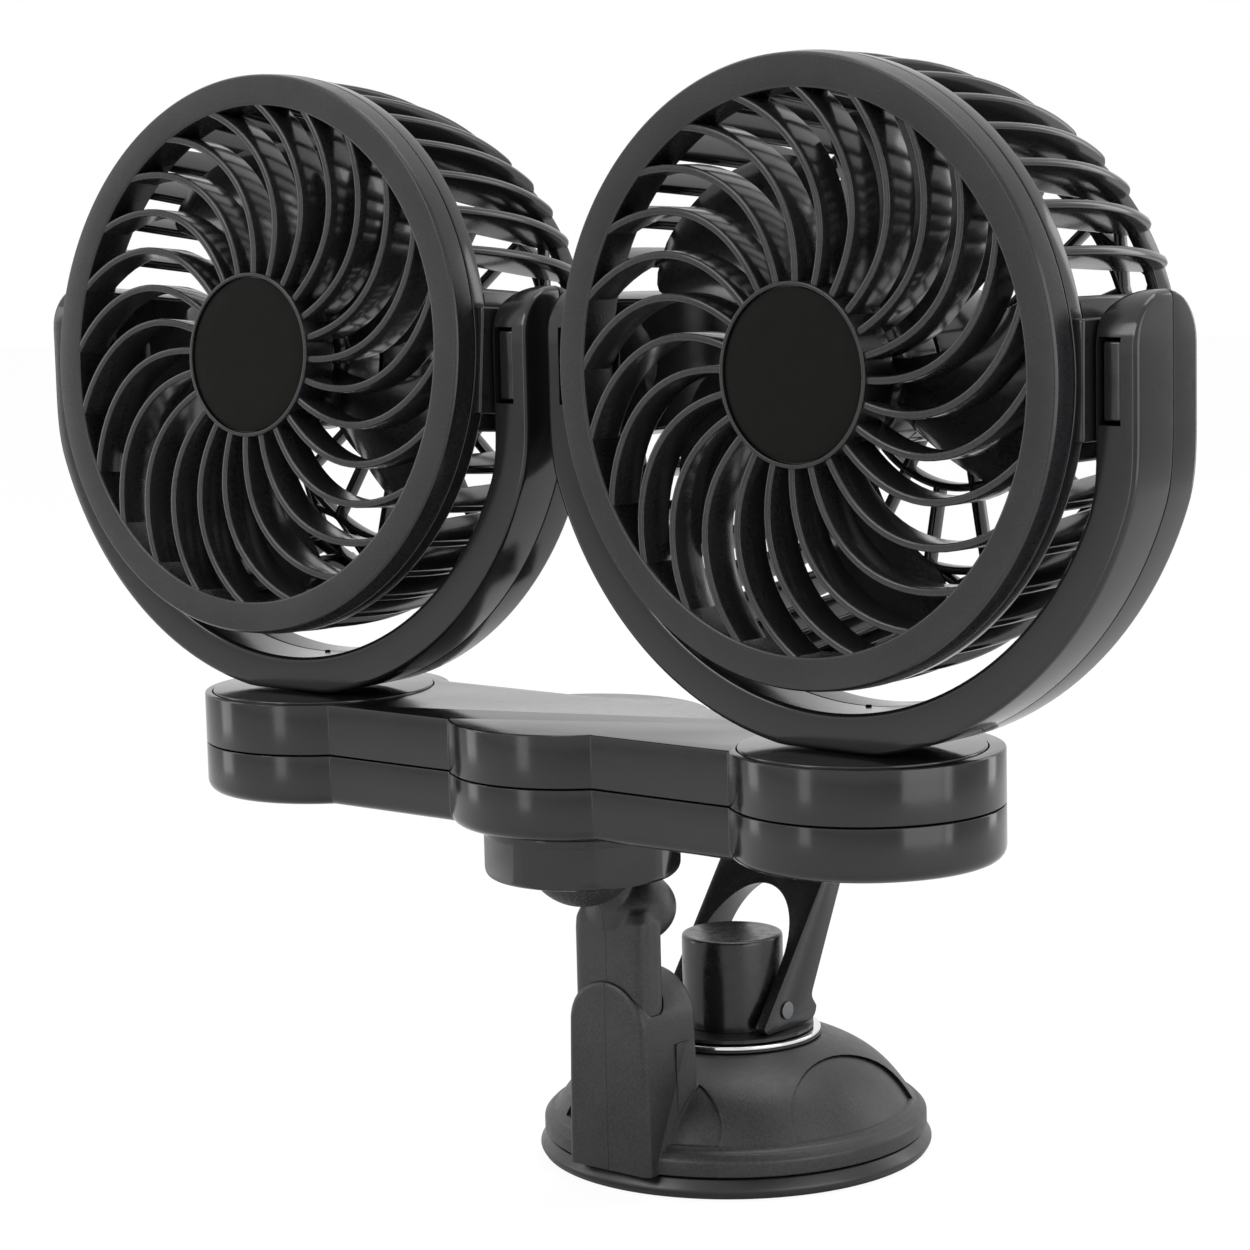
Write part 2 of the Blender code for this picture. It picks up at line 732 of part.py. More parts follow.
def stub_hole(sign, radius, near, far):
    """A short rod along X that cuts or fills the pivot's place."""
    hole = rod("hole", radius, near, far, TINY_STEPS)
    return moved(hole, Matrix.Rotation(math.radians(sign * 90.0), 4, "Y"))


def rear_housing():
    """Ribbed basket, rear spider, motor cup and tilt lugs, as one moulding."""
    shell = combined(basket_shell(), basket_windows(), "DIFFERENCE")
    for sign in (-1, 1):
        shell = combined(shell, tilt_lug(sign), "UNION")
    shell = combined(shell, combined(spider(), motor_cup(), "UNION"), "UNION")
    start = PIVOT_X - PIVOT_SHANK_LENGTH - SEAT_GAP
    for sign in (-1, 1):
        hole = stub_hole(sign, PIVOT_SHANK_R + SEAT_GAP, start, LUG_R + OVERRUN)
        shell = combined(shell, hole, "DIFFERENCE")
    return shell


def motor():
    """Motor can with its front boss and the shaft's bore."""
    bore = SHAFT_R + SHAFT_RUN
    bore_foot = MOTOR_FRONT_H - SHAFT_IN_MOTOR - SEAT_GAP
    boss = MOTOR_FRONT_H + MOTOR_BOSS_H
    return turned(
        "motor",
        [
            (0, bore_foot),
            (bore, bore_foot),
            (bore, boss),
            (MOTOR_BOSS_R, boss),
            (MOTOR_BOSS_R, MOTOR_FRONT_H),
            (MOTOR_R, MOTOR_FRONT_H),
            (MOTOR_R, MOTOR_REAR_H),
            (0, MOTOR_REAR_H),
        ],
        SMALL_STEPS,
    )


def motor_shaft():
    return rod(
        "motor_shaft",
        SHAFT_R,
        MOTOR_FRONT_H - SHAFT_IN_MOTOR,
        IMPELLER_REAR_H + SHAFT_IN_HUB,
        TINY_STEPS,
    )


def blade():
    """One broad blade: a bent sheet from root to rounded tip, given its thickness."""
    form = bmesh.new()
    bmesh.ops.create_grid(form, x_segments=4, y_segments=2, size=1.0)
    for vertex in form.verts:
        across = vertex.co.y
        part = (vertex.co.x + 1) / 2
        radius = BLADE_ROOT_R + (BLADE_TIP_R - BLADE_ROOT_R) * part
        past = max(part - BLADE_ROUND_SHARE, 0) / (1 - BLADE_ROUND_SHARE)
        roundness = math.sqrt(1 - BLADE_TIP_FLAT_SHARE * past**2)
        chord = (BLADE_ROOT_CHORD + (BLADE_TIP_CHORD - BLADE_ROOT_CHORD) * part) * roundness
        pitch = math.radians(BLADE_ROOT_PITCH_DEG + (BLADE_TIP_PITCH_DEG - BLADE_ROOT_PITCH_DEG) * part)
        along = across * chord / 2 * math.cos(pitch)
        rise = across * chord / 2 * math.sin(pitch) + BLADE_MID_H
        angle = along / radius + math.radians(BLADE_SWEEP_DEG) * part**2
        vertex.co = (radius * math.cos(angle), radius * math.sin(angle), rise)
    obj = from_bmesh("blade", form)
    skin = obj.modifiers.new("Skin", "SOLIDIFY")
    skin.thickness = BLADE_THICK
    skin.offset = 0.0
    return welded(baked(obj))


def impeller():
    """Hub cap, bored for the shaft, and its broad blades."""
    bore = SHAFT_R + SEAT_GAP
    bore_top = IMPELLER_REAR_H + SHAFT_IN_HUB + SEAT_GAP
    hub = turned(
        "impeller",
        [
            (0, IMPELLER_FRONT_H),
            (IMPELLER_NOSE_R, IMPELLER_FRONT_H),
            (IMPELLER_HUB_R, IMPELLER_SHOULDER_H),
            (IMPELLER_HUB_R, IMPELLER_REAR_H),
            (bore, IMPELLER_REAR_H),
            (bore, bore_top),
            (0, bore_top),
        ],
        SMALL_STEPS,
    )
    return combined(hub, copies_round("blades", blade(), BLADE_COUNT), "UNION")


def yoke_outline():
    """The U of the yoke seen from the front, from its right arm's top round to its left arm's."""
    foot_deg = math.degrees(math.asin(YOKE_DROP / YOKE_OUTER_R))
    outer_deg = math.degrees(math.acos(YOKE_OUTER_X / YOKE_OUTER_R))
    inner_deg = math.degrees(math.acos(YOKE_INNER_X / YOKE_INNER_R))
    right = arc(YOKE_OUTER_R, -foot_deg, -outer_deg, 6)
    right += [(YOKE_OUTER_X, YOKE_TOP)]
    centre = (YOKE_INNER_X + YOKE_INNER_CORNER, YOKE_TOP - YOKE_INNER_CORNER)
    right += arc(YOKE_INNER_CORNER, 90, 180, 2, centre)
    right += arc(YOKE_INNER_R, -inner_deg, -90, 8)
    left = [(-x, y) for x, y in right[-2::-1]]
    return right + left


def yoke_side():
    """Side outline of the arms, (up, forwards), with a round top."""
    radius = (YOKE_FRONT_H - YOKE_REAR_H) / 2
    middle = (YOKE_FRONT_H + YOKE_REAR_H) / 2
    foot = -YOKE_DROP - OVERRUN
    top = arc(radius, 90, -90, 6, (YOKE_TOP - radius, middle))
    return [(foot, YOKE_FRONT_H)] + top + [(foot, YOKE_REAR_H)]


def yoke_half(name, low, high):
    """Front or rear half of the yoke between two heights."""
    half = extruded(name, yoke_outline(), low, high)
    reach = YOKE_OUTER_R + OVERRUN
    side = extruded("side", yoke_side(), -reach, reach)
    turn = Matrix(((0, 0, 1, 0), (1, 0, 0, 0), (0, 1, 0, 0), (0, 0, 0, 1)))
    half = combined(half, moved(side, turn), "INTERSECT")
    for sign in (-1, 1):
        near = sign * (PIVOT_X - SEAT_GAP)
        far = sign * WINDOW_OUTER_X
        pocket = box(
            "pocket",
            (min(near, far), -WINDOW_HALF, -PIVOT_DISC_R - SEAT_GAP),
            (max(near, far), WINDOW_HALF, YOKE_FRONT_H + OVERRUN),
        )
        half = combined(half, pocket, "DIFFERENCE")
        hole = stub_hole(sign, PIVOT_SHANK_R + SEAT_GAP, LUG_R - OVERRUN, PIVOT_X + SEAT_GAP)
        half = combined(half, hole, "DIFFERENCE")
    return half


def yoke_screw_places():
    """Screw places on the yoke's lower bend, one on each side."""
    radius = (YOKE_INNER_R + YOKE_OUTER_R) / 2
    across = radius * math.sin(math.radians(YOKE_SCREW_DEG))
    down = radius * math.cos(math.radians(YOKE_SCREW_DEG))
    return [(-across, -down), (across, -down)]


def screw_form(length):
    """A pan-head screw with its head down at zero and its shank up."""
    return turned(
        "screw",
        [
            (0, SCREW_HEAD_H + length),
            (SCREW_SHANK_R, SCREW_HEAD_H + length),
            (SCREW_SHANK_R, SCREW_HEAD_H),
            (SCREW_HEAD_R, SCREW_HEAD_H),
            (SCREW_HEAD_R, 0),
            (0, 0),
        ],
        TINY_STEPS,
    )


def screw_room(length):
    """The counterbore and hole that a screw of that length sits in."""
    head_r = SCREW_HEAD_R + SCREW_CLEAR
    hole_r = SCREW_SHANK_R + SCREW_CLEAR
    seat = SCREW_HEAD_H + SCREW_CLEAR
    top = seat + length + SCREW_CLEAR
    return turned(
        "screw_room",
        [(0, top), (hole_r, top), (hole_r, seat), (head_r, seat), (head_r, -OVERRUN), (0, -OVERRUN)],
        TINY_STEPS,
    )


def placed_copies(name, source, places, height):
    forms = []
    for index, (x, y) in enumerate(places):
        copy = new_object(f"{name}_{index}", source.data.copy())
        forms.append(moved(copy, Matrix.Translation((x, y, height))))
    bpy.data.objects.remove(source, do_unlink=True)
    return merged(name, forms)


def yoke_front():
    low = YOKE_SEAM / 2
    half = yoke_half("yoke_front", low, YOKE_FRONT_H)
    rooms = placed_copies("rooms", screw_room(yoke_screw_length()), yoke_screw_places(), YOKE_REAR_H)
    return combined(half, rooms, "DIFFERENCE")


def yoke_rear():
    high = -YOKE_SEAM / 2
    half = yoke_half("yoke_rear", YOKE_REAR_H, high)
    rooms = placed_copies("rooms", screw_room(yoke_screw_length()), yoke_screw_places(), YOKE_REAR_H)
    return combined(half, rooms, "DIFFERENCE")


def yoke_screw_length():
    return -YOKE_REAR_H - SCREW_HEAD_H + SCREW_BITE


def pivot_stub():
    """Round boss that turns in the yoke's pocket, with a shank fixed in the basket's lug."""
    disc_low = PIVOT_X
    disc_high = disc_low + PIVOT_DISC_THICK
    shank_low = PIVOT_X - PIVOT_SHANK_LENGTH
    return turned(
        "pivot_stub",
        [
            (0, disc_high),
            (PIVOT_DISC_R, disc_high),
            (PIVOT_DISC_R, disc_low),
            (PIVOT_SHANK_R, disc_low),
            (PIVOT_SHANK_R, shank_low),
            (0, shank_low),
        ],
        SMALL_STEPS,
    )


# Turntable pieces, modelled upright round the pan axis with Z as in the whole object


def turntable():
    """Round table under the yoke with its spigot through the upper shell."""
    spigot_foot = RECESS_Z - TURNTABLE_WEB - SEAT_GAP
    plug_r = RETAINER_PLUG_R + SEAT_GAP
    plug_top = spigot_foot + RETAINER_PLUG_H + SEAT_GAP
    return turned(
        "turntable",
        [
            (0, TURNTABLE_TOP_Z),
            (TURNTABLE_R - TURNTABLE_SOFT, TURNTABLE_TOP_Z),
            (TURNTABLE_R, TURNTABLE_TOP_Z - TURNTABLE_SOFT),
            (TURNTABLE_R, TURNTABLE_Z),
            (SPIGOT_R, TURNTABLE_Z),
            (SPIGOT_R, spigot_foot),
            (plug_r, spigot_foot),
            (plug_r, plug_top),
            (0, plug_top),
        ],
        MID_STEPS,
    )


def retainer():
    """Disc under the spigot that keeps the turntable in the bar."""
    top = RECESS_Z - TURNTABLE_WEB - SEAT_GAP - SEAT_GAP
    low = top - RETAINER_THICK
    plug_top = top + RETAINER_PLUG_H
    return turned(
        "retainer",
        [
            (0, plug_top),
            (RETAINER_PLUG_R, plug_top),
            (RETAINER_PLUG_R, top),
            (RETAINER_R, top),
            (RETAINER_R, low),
            (0, low),
        ],
        SMALL_STEPS,
    )


# Bar


def bar_outline(inset):
    """Plan of the bar: two end discs, a middle disc and straight waists, drawn in by an inset."""
    waist = BAR_WAIST - inset
    end_r = BAR_END_R - inset
    middle_r = BAR_MIDDLE_R - inset
    end_deg = math.degrees(math.asin(waist / end_r))
    middle_deg = math.degrees(math.asin(waist / middle_r))
    right = arc(end_r, -180 + end_deg, 180 - end_deg, 14, (HALF_SPACING, 0))
    back = arc(middle_r, middle_deg, 180 - middle_deg, 6)
    left = arc(end_r, end_deg, 360 - end_deg, 14, (-HALF_SPACING, 0))
    front = arc(middle_r, 180 + middle_deg, 360 - middle_deg, 6)
    return right + back + left + front


def bar_screw_places():
    return [(sx * BAR_SCREW_X, sy * BAR_SCREW_Y) for sx in (-1, 1) for sy in (-1, 1)]


def bar_screw_length():
    return LOWER_SHELL_H - SCREW_HEAD_H + SCREW_BITE


def upper_shell():
    """Upper half of the bar with the two turntable seats."""
    shell = stacked(
        "upper_shell",
        [
            (bar_outline(0), UPPER_BOTTOM_Z),
            (bar_outline(0), BAR_TOP_Z - BAR_TOP_SOFT),
            (bar_outline(BAR_TOP_SOFT), BAR_TOP_Z),
        ],
    )
    web_low = RECESS_Z - TURNTABLE_WEB
    room = turned(
        "seat_room",
        [
            (0, BAR_TOP_Z + OVERRUN),
            (TURNTABLE_R + SEAT_GAP, BAR_TOP_Z + OVERRUN),
            (TURNTABLE_R + SEAT_GAP, RECESS_Z),
            (SPIGOT_R + SEAT_GAP, RECESS_Z),
            (SPIGOT_R + SEAT_GAP, web_low),
            (RETAINER_R + SEAT_GAP, web_low),
            (RETAINER_R + SEAT_GAP, UPPER_BOTTOM_Z - OVERRUN),
            (0, UPPER_BOTTOM_Z - OVERRUN),
        ],
        MID_STEPS,
    )
    places = [(-HALF_SPACING, -HEAD_AHEAD), (HALF_SPACING, -HEAD_AHEAD)]
    shell = combined(shell, placed_copies("rooms", room, places, 0), "DIFFERENCE")
    rooms = placed_copies("holes", screw_room(bar_screw_length()), bar_screw_places(), BAR_BOTTOM_Z)
    return combined(shell, rooms, "DIFFERENCE")


def lower_shell():
    """Lower half of the bar with the threaded socket for the ball."""
    shell = stacked(
        "lower_shell",
        [
            (bar_outline(BAR_BOTTOM_SOFT), BAR_BOTTOM_Z),
            (bar_outline(BAR_BOTTOM_SOFT / 4), BAR_BOTTOM_Z + BAR_BOTTOM_SOFT / 3),
            (bar_outline(0), BAR_BOTTOM_Z + BAR_BOTTOM_SOFT),
            (bar_outline(0), BAR_SEAM_Z),
        ],
    )
    socket_top = BAR_BOTTOM_Z + BAR_BOTTOM_SOFT
    socket = rod("socket", SOCKET_R + SOCKET_WALL, BALL_Z + SOCKET_MOUTH_H, socket_top, MID_STEPS)
    shell = combined(shell, socket, "UNION")
    room = rod(
        "room",
        SOCKET_R,
        BALL_Z + SOCKET_MOUTH_H - OVERRUN,
        BALL_Z + SOCKET_CEILING_H,
        MID_STEPS,
    )
    shell = combined(shell, room, "DIFFERENCE")
    rooms = placed_copies("holes", screw_room(bar_screw_length()), bar_screw_places(), BAR_BOTTOM_Z)
    return combined(shell, rooms, "DIFFERENCE")


# Ball joint, modelled round the ball's centre


def ball_cap():
    """Thin dome that rides on top of the ball."""
    inner = BALL_R + SEAT_GAP
    outer = inner + SEAT_WALL
    profile = sphere_arc(outer, outer, CAP_EDGE_H, 3) + sphere_arc(inner, CAP_EDGE_H, inner, 5)
    return turned("ball_cap", profile, MID_STEPS)


def ball_collet():
    """Ring that holds the ball from below and carries the socket."""
    lip = BALL_R + SEAT_GAP
    inner = lip + SEAT_WALL + SEAT_GAP
    outer = inner + SEAT_WALL
    profile = [(outer, COLLET_TOP_H), (outer, COLLET_LIP_H)]
    profile += sphere_arc(lip, COLLET_LIP_H, 0, 2)
    profile += sphere_arc(inner, 0, COLLET_TOP_H, 3)
    return turned("ball_collet", profile, MID_STEPS, ring=True)


def collar_nut():
    """Collar nut with broad flats, threaded on the socket."""
    thread = SOCKET_R + SOCKET_WALL + NUT_THREAD_GAP
    round_h = (NUT_SHOULDER_H - NUT_BOTTOM_H) / 4
    profile = [
        (thread, NUT_TOP_H),
        (NUT_R, NUT_TOP_H),
        (NUT_R, NUT_SHOULDER_H),
        (NUT_R - round_h, NUT_BOTTOM_H + round_h),
        (NUT_R - 2 * round_h, NUT_BOTTOM_H),
        (NUT_MOUTH_R, NUT_BOTTOM_H),
        (NUT_LIP_R, NUT_LIP_H - SEAT_GAP),
        (NUT_LIP_R, NUT_LIP_H),
        (thread, NUT_LIP_H),
    ]
    nut = turned("collar_nut", profile, MID_STEPS, ring=True)
    reach = NUT_R * 2
    flat = box(
        "flat",
        (NUT_FLAT_R, -reach / 2, NUT_BOTTOM_H - OVERRUN),
        (reach, reach / 2, NUT_COLLAR_H),
    )
    for index in range(NUT_FLATS):
        tool = new_object("tool", flat.data.copy())
        moved(tool, Matrix.Rotation(2 * math.pi * (index + 0.5) / NUT_FLATS, 4, "Z"))
        nut = combined(nut, tool, "DIFFERENCE")
    bpy.data.objects.remove(flat, do_unlink=True)
    return nut


def rounded_rectangle(half_x, half_y, corner, centre_y=0.0):
    points = []
    for start, sx, sy in ((0, 1, 1), (90, -1, 1), (180, -1, -1), (270, 1, -1)):
        middle = (sx * (half_x - corner), centre_y + sy * (half_y - corner))
        points += arc(corner, start, start + 90, 3, middle)
    return points


def neck_plan(grow):
    """Section of the neck, measured backwards from the ball's centre."""
    middle = NECK_FRONT + NECK_DEPTH / 2
    return rounded_rectangle(NECK_HALF + grow, NECK_DEPTH / 2 + grow, NECK_CORNER + grow, middle)


def ball_arm():
    """Arm in one piece: neck, rounded knob, slanting stem and ball, round the ball's centre."""
    foot = NECK_FOOT_Z - BALL_Z
    arm = stacked("ball_arm", [(neck_plan(0), foot), (neck_plan(0), -KNOB_DROP)])
    knob = ball("knob", 1.0, 14, 8)
    moved(knob, Matrix.Diagonal((KNOB_HALF_X, KNOB_HALF_Y, KNOB_HALF_Z, 1)))
    moved(knob, Matrix.Translation((0, KNOB_BACK, -KNOB_DROP)))
    arm = combined(arm, knob, "UNION")
    stem = rod("stem", STEM_R, -STEM_LENGTH, 0, 12)
    moved(stem, Matrix.Rotation(math.radians(STEM_DEG), 4, "X"))
    arm = combined(arm, stem, "UNION")
    return combined(arm, ball("ball", BALL_R, 16, 10), "UNION")


# Base, modelled round the cup's axis


def suction_cup():
    """Rubber cup, flat underneath where it meets the dashboard."""
    return turned(
        "suction_cup",
        [
            (0, CUP_TOP_Z),
            (CUP_R - CUP_TOP_DRAW_IN, CUP_TOP_Z),
            (CUP_R, CUP_WIDEST_Z),
            (CUP_R - CUP_FOOT_DRAW_IN, 0),
            (0, 0),
        ],
        BASE_STEPS,
    )


def dome_profile(shrink):
    """Side outline of the dome from its top edge down to the rim, optionally drawn in."""
    points = []
    for index in range(DOME_POINTS + 1):
        part = index / DOME_POINTS
        bulge = DOME_BULGE * math.sin(math.pi * part)
        radius = DOME_TOP_R + (DOME_FOOT_R - DOME_TOP_R) * part + bulge - shrink
        points.append((radius, DOME_TOP_Z + (DOME_FOOT_Z - DOME_TOP_Z) * part + bulge))
    return points


def rim_profile():
    """Rounded rim round the dome's foot, down to the plate's underside."""
    return [(RIM_TOP_R, RIM_TOP_Z), (HOUSING_R, RIM_Z), (HOUSING_R, HOUSING_Z)]


def panel_cutters():
    """Arched recesses on four sides of the dome. The front one stays clear of the tower's root."""
    outline = [(-PANEL_HALF, PANEL_FOOT_Z), (PANEL_HALF, PANEL_FOOT_Z)]
    for index in range(1, 6):
        angle = math.pi * index / 6
        rise = PANEL_FOOT_Z + (PANEL_TOP_Z - PANEL_FOOT_Z) * math.sin(angle)
        outline.append((PANEL_HALF * math.cos(angle), rise))
    arch = extruded("arch", outline, POST_FLANGE_R, HOUSING_R + OVERRUN)
    moved(arch, Matrix(((0, 0, 1, 0), (1, 0, 0, 0), (0, 1, 0, 0), (0, 0, 0, 1))))
    core_profile = [(0, DOME_TOP_Z)] + dome_profile(PANEL_DEPTH) + [(0, DOME_FOOT_Z)]
    core = turned("core", core_profile, BASE_STEPS)
    cutters = []
    for index in range(4):
        panel = new_object("panel", arch.data.copy())
        moved(panel, Matrix.Rotation(math.pi * index / 2, 4, "Z"))
        tool = new_object("tool", core.data.copy())
        cutters.append(combined(panel, tool, "DIFFERENCE"))
    for obj in (arch, core):
        bpy.data.objects.remove(obj, do_unlink=True)
    root = box(
        "root",
        (-TOWER_HALF_FOOT, -HOUSING_R - OVERRUN - OVERRUN, HOUSING_Z),
        (TOWER_HALF_FOOT, 0, DOME_TOP_Z),
    )
    return cutters[:-1] + [combined(cutters[-1], root, "DIFFERENCE")]


def tower_outline():
    """Front outline of the tower, (x, z): drafted sides and a half round top."""
    spring = TOWER_TOP_Z - TOWER_HALF_TOP
    points = [(-TOWER_HALF_FOOT, HOUSING_Z), (TOWER_HALF_FOOT, HOUSING_Z)]
    return points + arc(TOWER_HALF_TOP, 0, 180, 12, (0, spring))


def tower():
    """Tower in front of the dome, with the socket that the neck plugs into."""
    rear = BALL_FORWARD - TOWER_FRONT - TOWER_DEPTH
    front = BALL_FORWARD - TOWER_FRONT
    body = extruded("tower", tower_outline(), rear, front)
    return moved(body, Matrix.Rotation(math.radians(90.0), 4, "X"))


def base_housing():
    """Plate, dome and tower in one moulding, bored for the post and the neck."""
    profile = [(0, DOME_TOP_Z)] + dome_profile(0) + rim_profile() + [(0, HOUSING_Z)]
    body = turned("base_housing", profile, BASE_STEPS)
    for cutter in panel_cutters():
        body = combined(body, cutter, "DIFFERENCE")
    body = combined(body, tower(), "UNION")
    room = turned(
        "post_room",
        [
            (0, DOME_TOP_Z + OVERRUN),
            (POST_R + POST_RUN, DOME_TOP_Z + OVERRUN),
            (POST_R + POST_RUN, HOUSING_Z + POST_FLANGE_H + POST_LIFT + SEAT_GAP),
            (POST_FLANGE_R + POST_RUN, HOUSING_Z + POST_FLANGE_H + POST_LIFT + SEAT_GAP),
            (POST_FLANGE_R + POST_RUN, HOUSING_Z - OVERRUN),
            (0, HOUSING_Z - OVERRUN),
        ],
        MID_STEPS,
    )
    body = combined(body, room, "DIFFERENCE")
    slot = stacked("slot", [(neck_plan(SEAT_GAP), NECK_FOOT_Z - SEAT_GAP), (neck_plan(SEAT_GAP), TOWER_TOP_Z)])
    moved(slot, Matrix.Translation((0, -BALL_FORWARD, 0)))
    return combined(body, slot, "DIFFERENCE")


def bright_ring():
    low = DOME_TOP_Z + SEAT_GAP
    inner = POST_R + POST_RUN
    high = low + BRIGHT_RING_THICK
    return turned(
        "bright_ring",
        [(BRIGHT_RING_R, high), (BRIGHT_RING_R, low), (inner, low), (inner, high)],
        BASE_STEPS,
        ring=True,
    )


def ring_washer():
    low = WASHER_Z
    inner = POST_R + POST_RUN
    high = low + WASHER_THICK
    return turned(
        "ring_washer",
        [(WASHER_R, high), (WASHER_R, low), (inner, low), (inner, high)],
        MID_STEPS,
        ring=True,
    )


def along_x(obj):
    return moved(obj, Matrix.Rotation(math.radians(90.0), 4, "Y"))


def suction_post():
    """Post that draws the cup up, flanged at its foot and bored for the lever's pin."""
    low = HOUSING_Z
    post = turned(
        "suction_post",
        [
            (0, POST_TOP_Z),
            (POST_R - POST_SOFT, POST_TOP_Z),
            (POST_R, POST_TOP_Z - POST_SOFT),
            (POST_R, low + POST_FLANGE_H),
            (POST_FLANGE_R, low + POST_FLANGE_H),
            (POST_FLANGE_R, low),
            (0, low),
        ],
        MID_STEPS,
    )
    hole = along_x(rod("hole", PIN_R + PIN_CLEAR, -LEVER_HALF, LEVER_HALF, TINY_STEPS))
    moved(hole, Matrix.Translation((0, 0, PIN_Z)))
    return combined(post, hole, "DIFFERENCE")


def lever_pin():
    return along_x(rod("lever_pin", PIN_R, -LEVER_HALF - SEAT_GAP, LEVER_HALF + SEAT_GAP, TINY_STEPS))


def lever_side():
    """Side outline of the lever, (back, up): broad at the heel and slim at the top."""
    heel_centre = (LEVER_HEEL_BACK - LEVER_HEEL_SOFT, LEVER_HEEL_Z + LEVER_HEEL_SOFT)
    points = [(-LEVER_TOE_FRONT + LEVER_TOE_SOFT, LEVER_HEEL_Z)]
    points += arc(LEVER_HEEL_SOFT, -90, 0, 4, heel_centre)
    points.append((LEVER_BACK_Y, LEVER_BACK_Z))
    points.append((LEVER_TOP_BACK_Y, LEVER_TOP_BACK_Z))
    middle_y = (LEVER_TOP_BACK_Y + LEVER_TOP_FRONT_Y) / 2
    points.append((middle_y, LEVER_TOP_FRONT_Z + LEVER_TOE_SOFT))
    points.append((LEVER_TOP_FRONT_Y, LEVER_TOP_FRONT_Z))
    points.append((-LEVER_TOE_FRONT, LEVER_HEEL_Z + LEVER_TOE_SOFT))
    return points


def lever():
    """Arched lever whose two legs straddle the post."""
    body = extruded("lever", lever_side(), -LEVER_HALF, LEVER_HALF)
    moved(body, Matrix(((0, 0, 1, 0), (1, 0, 0, 0), (0, 1, 0, 0), (0, 0, 0, 1))))
    outline = [(-LEVER_INNER, LEVER_HEEL_Z - OVERRUN), (LEVER_INNER, LEVER_HEEL_Z - OVERRUN)]
    for index in range(9):
        angle = math.pi * index / 8
        rise = ARCH_SPRING_Z + (ARCH_TOP_Z - ARCH_SPRING_Z) * math.sin(angle)
        outline.append((LEVER_INNER * math.cos(angle), rise))
    reach = LEVER_TOP_BACK_Y + OVERRUN
    arch = extruded("arch", outline, -reach, reach)
    moved(arch, Matrix.Rotation(math.radians(90.0), 4, "X"))
    body = combined(body, arch, "DIFFERENCE")
    hole = along_x(rod("hole", PIN_R + PIN_CLEAR, -LEVER_HALF - OVERRUN, LEVER_HALF + OVERRUN, TINY_STEPS))
    moved(hole, Matrix.Translation((0, 0, PIN_Z)))
    body = combined(body, hole, "DIFFERENCE")
    return moved(body, Matrix.Translation((0, 0, -PIN_Z)))


# Assembly


def empty(name, parent, place, group):
    obj = bpy.data.objects.new(name, None)
    group.objects.link(obj)
    obj.parent = parent
    obj.location = place
    return obj


def finished(form, material):
    """Shades a form smooth, gives it its material and keeps only its mesh."""
    mesh = form.data
    mesh.name = form.name
    mesh.shade_smooth()
    mesh.set_sharp_from_angle(angle=math.radians(SMOOTH_DEG))
    mesh.materials.clear()
    mesh.materials.append(material)
    bpy.data.objects.remove(form, do_unlink=True)
    return mesh


def place(mesh, name, group, parent, location=(0, 0, 0), rotation=(0, 0, 0)):
    """Puts one piece in the model as its own object."""
    obj = bpy.data.objects.new(name, mesh)
    group.objects.link(obj)
    obj.parent = parent
    obj.location = location
    obj.rotation_euler = rotation
    return obj


def head_meshes(materials):
    """The meshes that the two heads share, each with its material."""
    gloss = materials["gloss"]
    steel = materials["steel"]
    return {
        "front_grille": finished(front_grille(), materials["grille"]),
        "hub_badge": finished(hub_badge(), materials["badge"]),
        "rear_housing": finished(rear_housing(), gloss),
        "motor": finished(motor(), steel),
        "motor_shaft": finished(motor_shaft(), steel),
        "impeller": finished(impeller(), gloss),
        "pivot": finished(pivot_stub(), gloss),
        "yoke_front": finished(yoke_front(), gloss),
        "yoke_rear": finished(yoke_rear(), gloss),
        "yoke_screw": finished(screw_form(yoke_screw_length()), steel),
        "turntable": finished(turntable(), gloss),
        "retainer": finished(retainer(), materials["inner"]),
    }


def add_head(side, sign, meshes, group, root):
    """One fan head on its yoke and turntable."""
    face_forward = (math.radians(90.0), 0, 0)
    pan = empty(f"pan_axis_{side}", root, (sign * HALF_SPACING, -BALL_FORWARD - HEAD_AHEAD, 0), group)
    pan.rotation_euler = (0, 0, math.radians(PAN_DEG[side]))
    place(meshes["turntable"], f"turntable_{side}", group, pan)
    place(meshes["retainer"], f"retainer_{side}", group, pan)
    yoke = empty(f"yoke_frame_{side}", pan, (0, 0, HEAD_Z), group)
    for name in ("yoke_front", "yoke_rear"):
        place(meshes[name], f"{name}_{side}", group, yoke, rotation=face_forward)
    for number, (across, up) in enumerate(yoke_screw_places(), 1):
        spot = (across, -YOKE_REAR_H, up)
        place(meshes["yoke_screw"], f"yoke_screw_{side}_{number}", group, yoke, spot, face_forward)
    head = empty(f"tilt_axis_{side}", pan, (0, 0, HEAD_Z), group)
    head.rotation_euler = (math.radians(TILT_DEG[side]), 0, 0)
    for name in ("front_grille", "hub_badge", "rear_housing", "motor", "motor_shaft", "impeller"):
        place(meshes[name], f"{name}_{side}", group, head, rotation=face_forward)
    for turn, end in ((-1, "left"), (1, "right")):
        sideways = (0, math.radians(turn * 90.0), 0)
        place(meshes["pivot"], f"tilt_pivot_{side}_{end}", group, head, rotation=sideways)


def add_bar(materials, group, root):
    """The bar that carries both heads, with its four screws."""
    gloss = materials["gloss"]
    bar = empty("bar_axis", root, (0, -BALL_FORWARD, 0), group)
    place(finished(upper_shell(), gloss), "upper_shell", group, bar)
    place(finished(lower_shell(), gloss), "lower_shell", group, bar)
    screw = finished(screw_form(bar_screw_length()), materials["steel"])
    for number, (x, y) in enumerate(bar_screw_places(), 1):
        place(screw, f"bar_screw_{number}", group, bar, (x, y, BAR_BOTTOM_Z))


